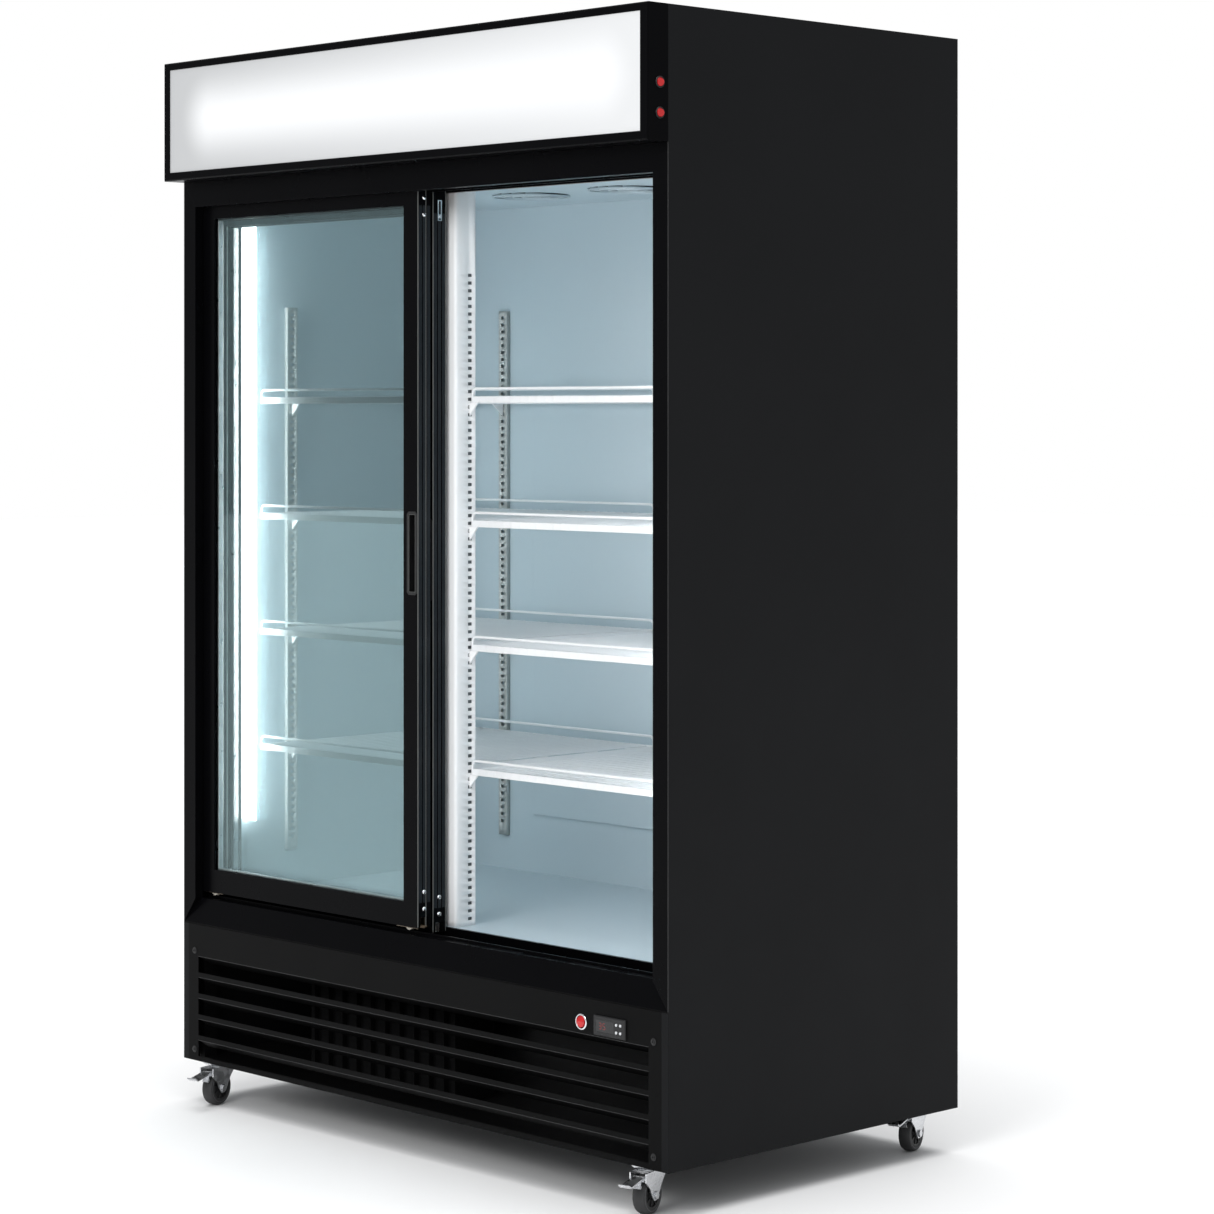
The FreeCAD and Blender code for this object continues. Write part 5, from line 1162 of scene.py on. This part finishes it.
def lights():
    """Studio light: a bright sky for the eye, a dimmer one that lights, a soft box and a sun."""
    world = bpy.data.worlds.new("studio")
    SCENE.world = world
    world.use_nodes = True
    tree = world.node_tree
    seen = tree.nodes["Background"]
    seen.inputs["Color"].default_value = (1.0, 1.0, 1.0, 1.0)
    seen.inputs["Strength"].default_value = SKY_SEEN
    cast = tree.nodes.new("ShaderNodeBackground")
    cast.inputs["Color"].default_value = (0.96, 0.98, 1.0, 1.0)
    cast.inputs["Strength"].default_value = SKY_CAST
    path = tree.nodes.new("ShaderNodeLightPath")
    mix = tree.nodes.new("ShaderNodeMixShader")
    tree.links.new(path.outputs["Is Camera Ray"], mix.inputs["Fac"])
    tree.links.new(cast.outputs["Background"], mix.inputs[1])
    tree.links.new(seen.outputs["Background"], mix.inputs[2])
    tree.links.new(mix.outputs["Shader"], tree.nodes["World Output"].inputs["Surface"])
    area_light("key_box", (1.5, -5.0, 3.6), (0.0, 0.0, 1.0), (2.5, 2.5), KEY_POWER)
    overhead = bpy.data.lights.new("overhead", "SUN")
    overhead.energy = SUN_STRENGTH
    overhead.angle = math.radians(SUN_SPREAD)
    link(bpy.data.objects.new("overhead", overhead)).location = (0.0, 0.0, 6.0)


def camera():
    """Level camera, aimed by azimuth and framed by shift."""
    data = bpy.data.cameras.new("camera")
    data.sensor_width = SENSOR
    data.lens = LENS
    data.shift_y = SHIFT_UP
    data.clip_end = 100.0
    obj = link(bpy.data.objects.new("camera", data))
    obj.location = (CAMERA_X, CAMERA_Y, CAMERA_Z)
    obj.rotation_euler = (math.radians(90), 0.0, math.radians(CAMERA_AZIMUTH))
    SCENE.camera = obj


SCENE.view_settings.view_transform = "Standard"
stage()
lights()
camera()
dress_cad_nodes()
wire_shelves()
centre_post()
shelf_standards()
fan_guards()
for door in ("front_door", "rear_door"):
    door_glass(door)
    edge_screws(door, door == "front_door")
    edge_sheen_strips(door)
    handle_rim_highlight(door)
edge_highlight_beads("front_door", (0.0, 0.62))
edge_highlight_beads("rear_door", (0.0, 1.0))
catch_plate()
door_wiper()
head_trim()
side_edge_glints()
grille_edge_glints()
grille_screws()
switch_bezels()
buttons()
display()
for corner in CORNERS:
    caster_wheel(corner)
    caster_race(corner)
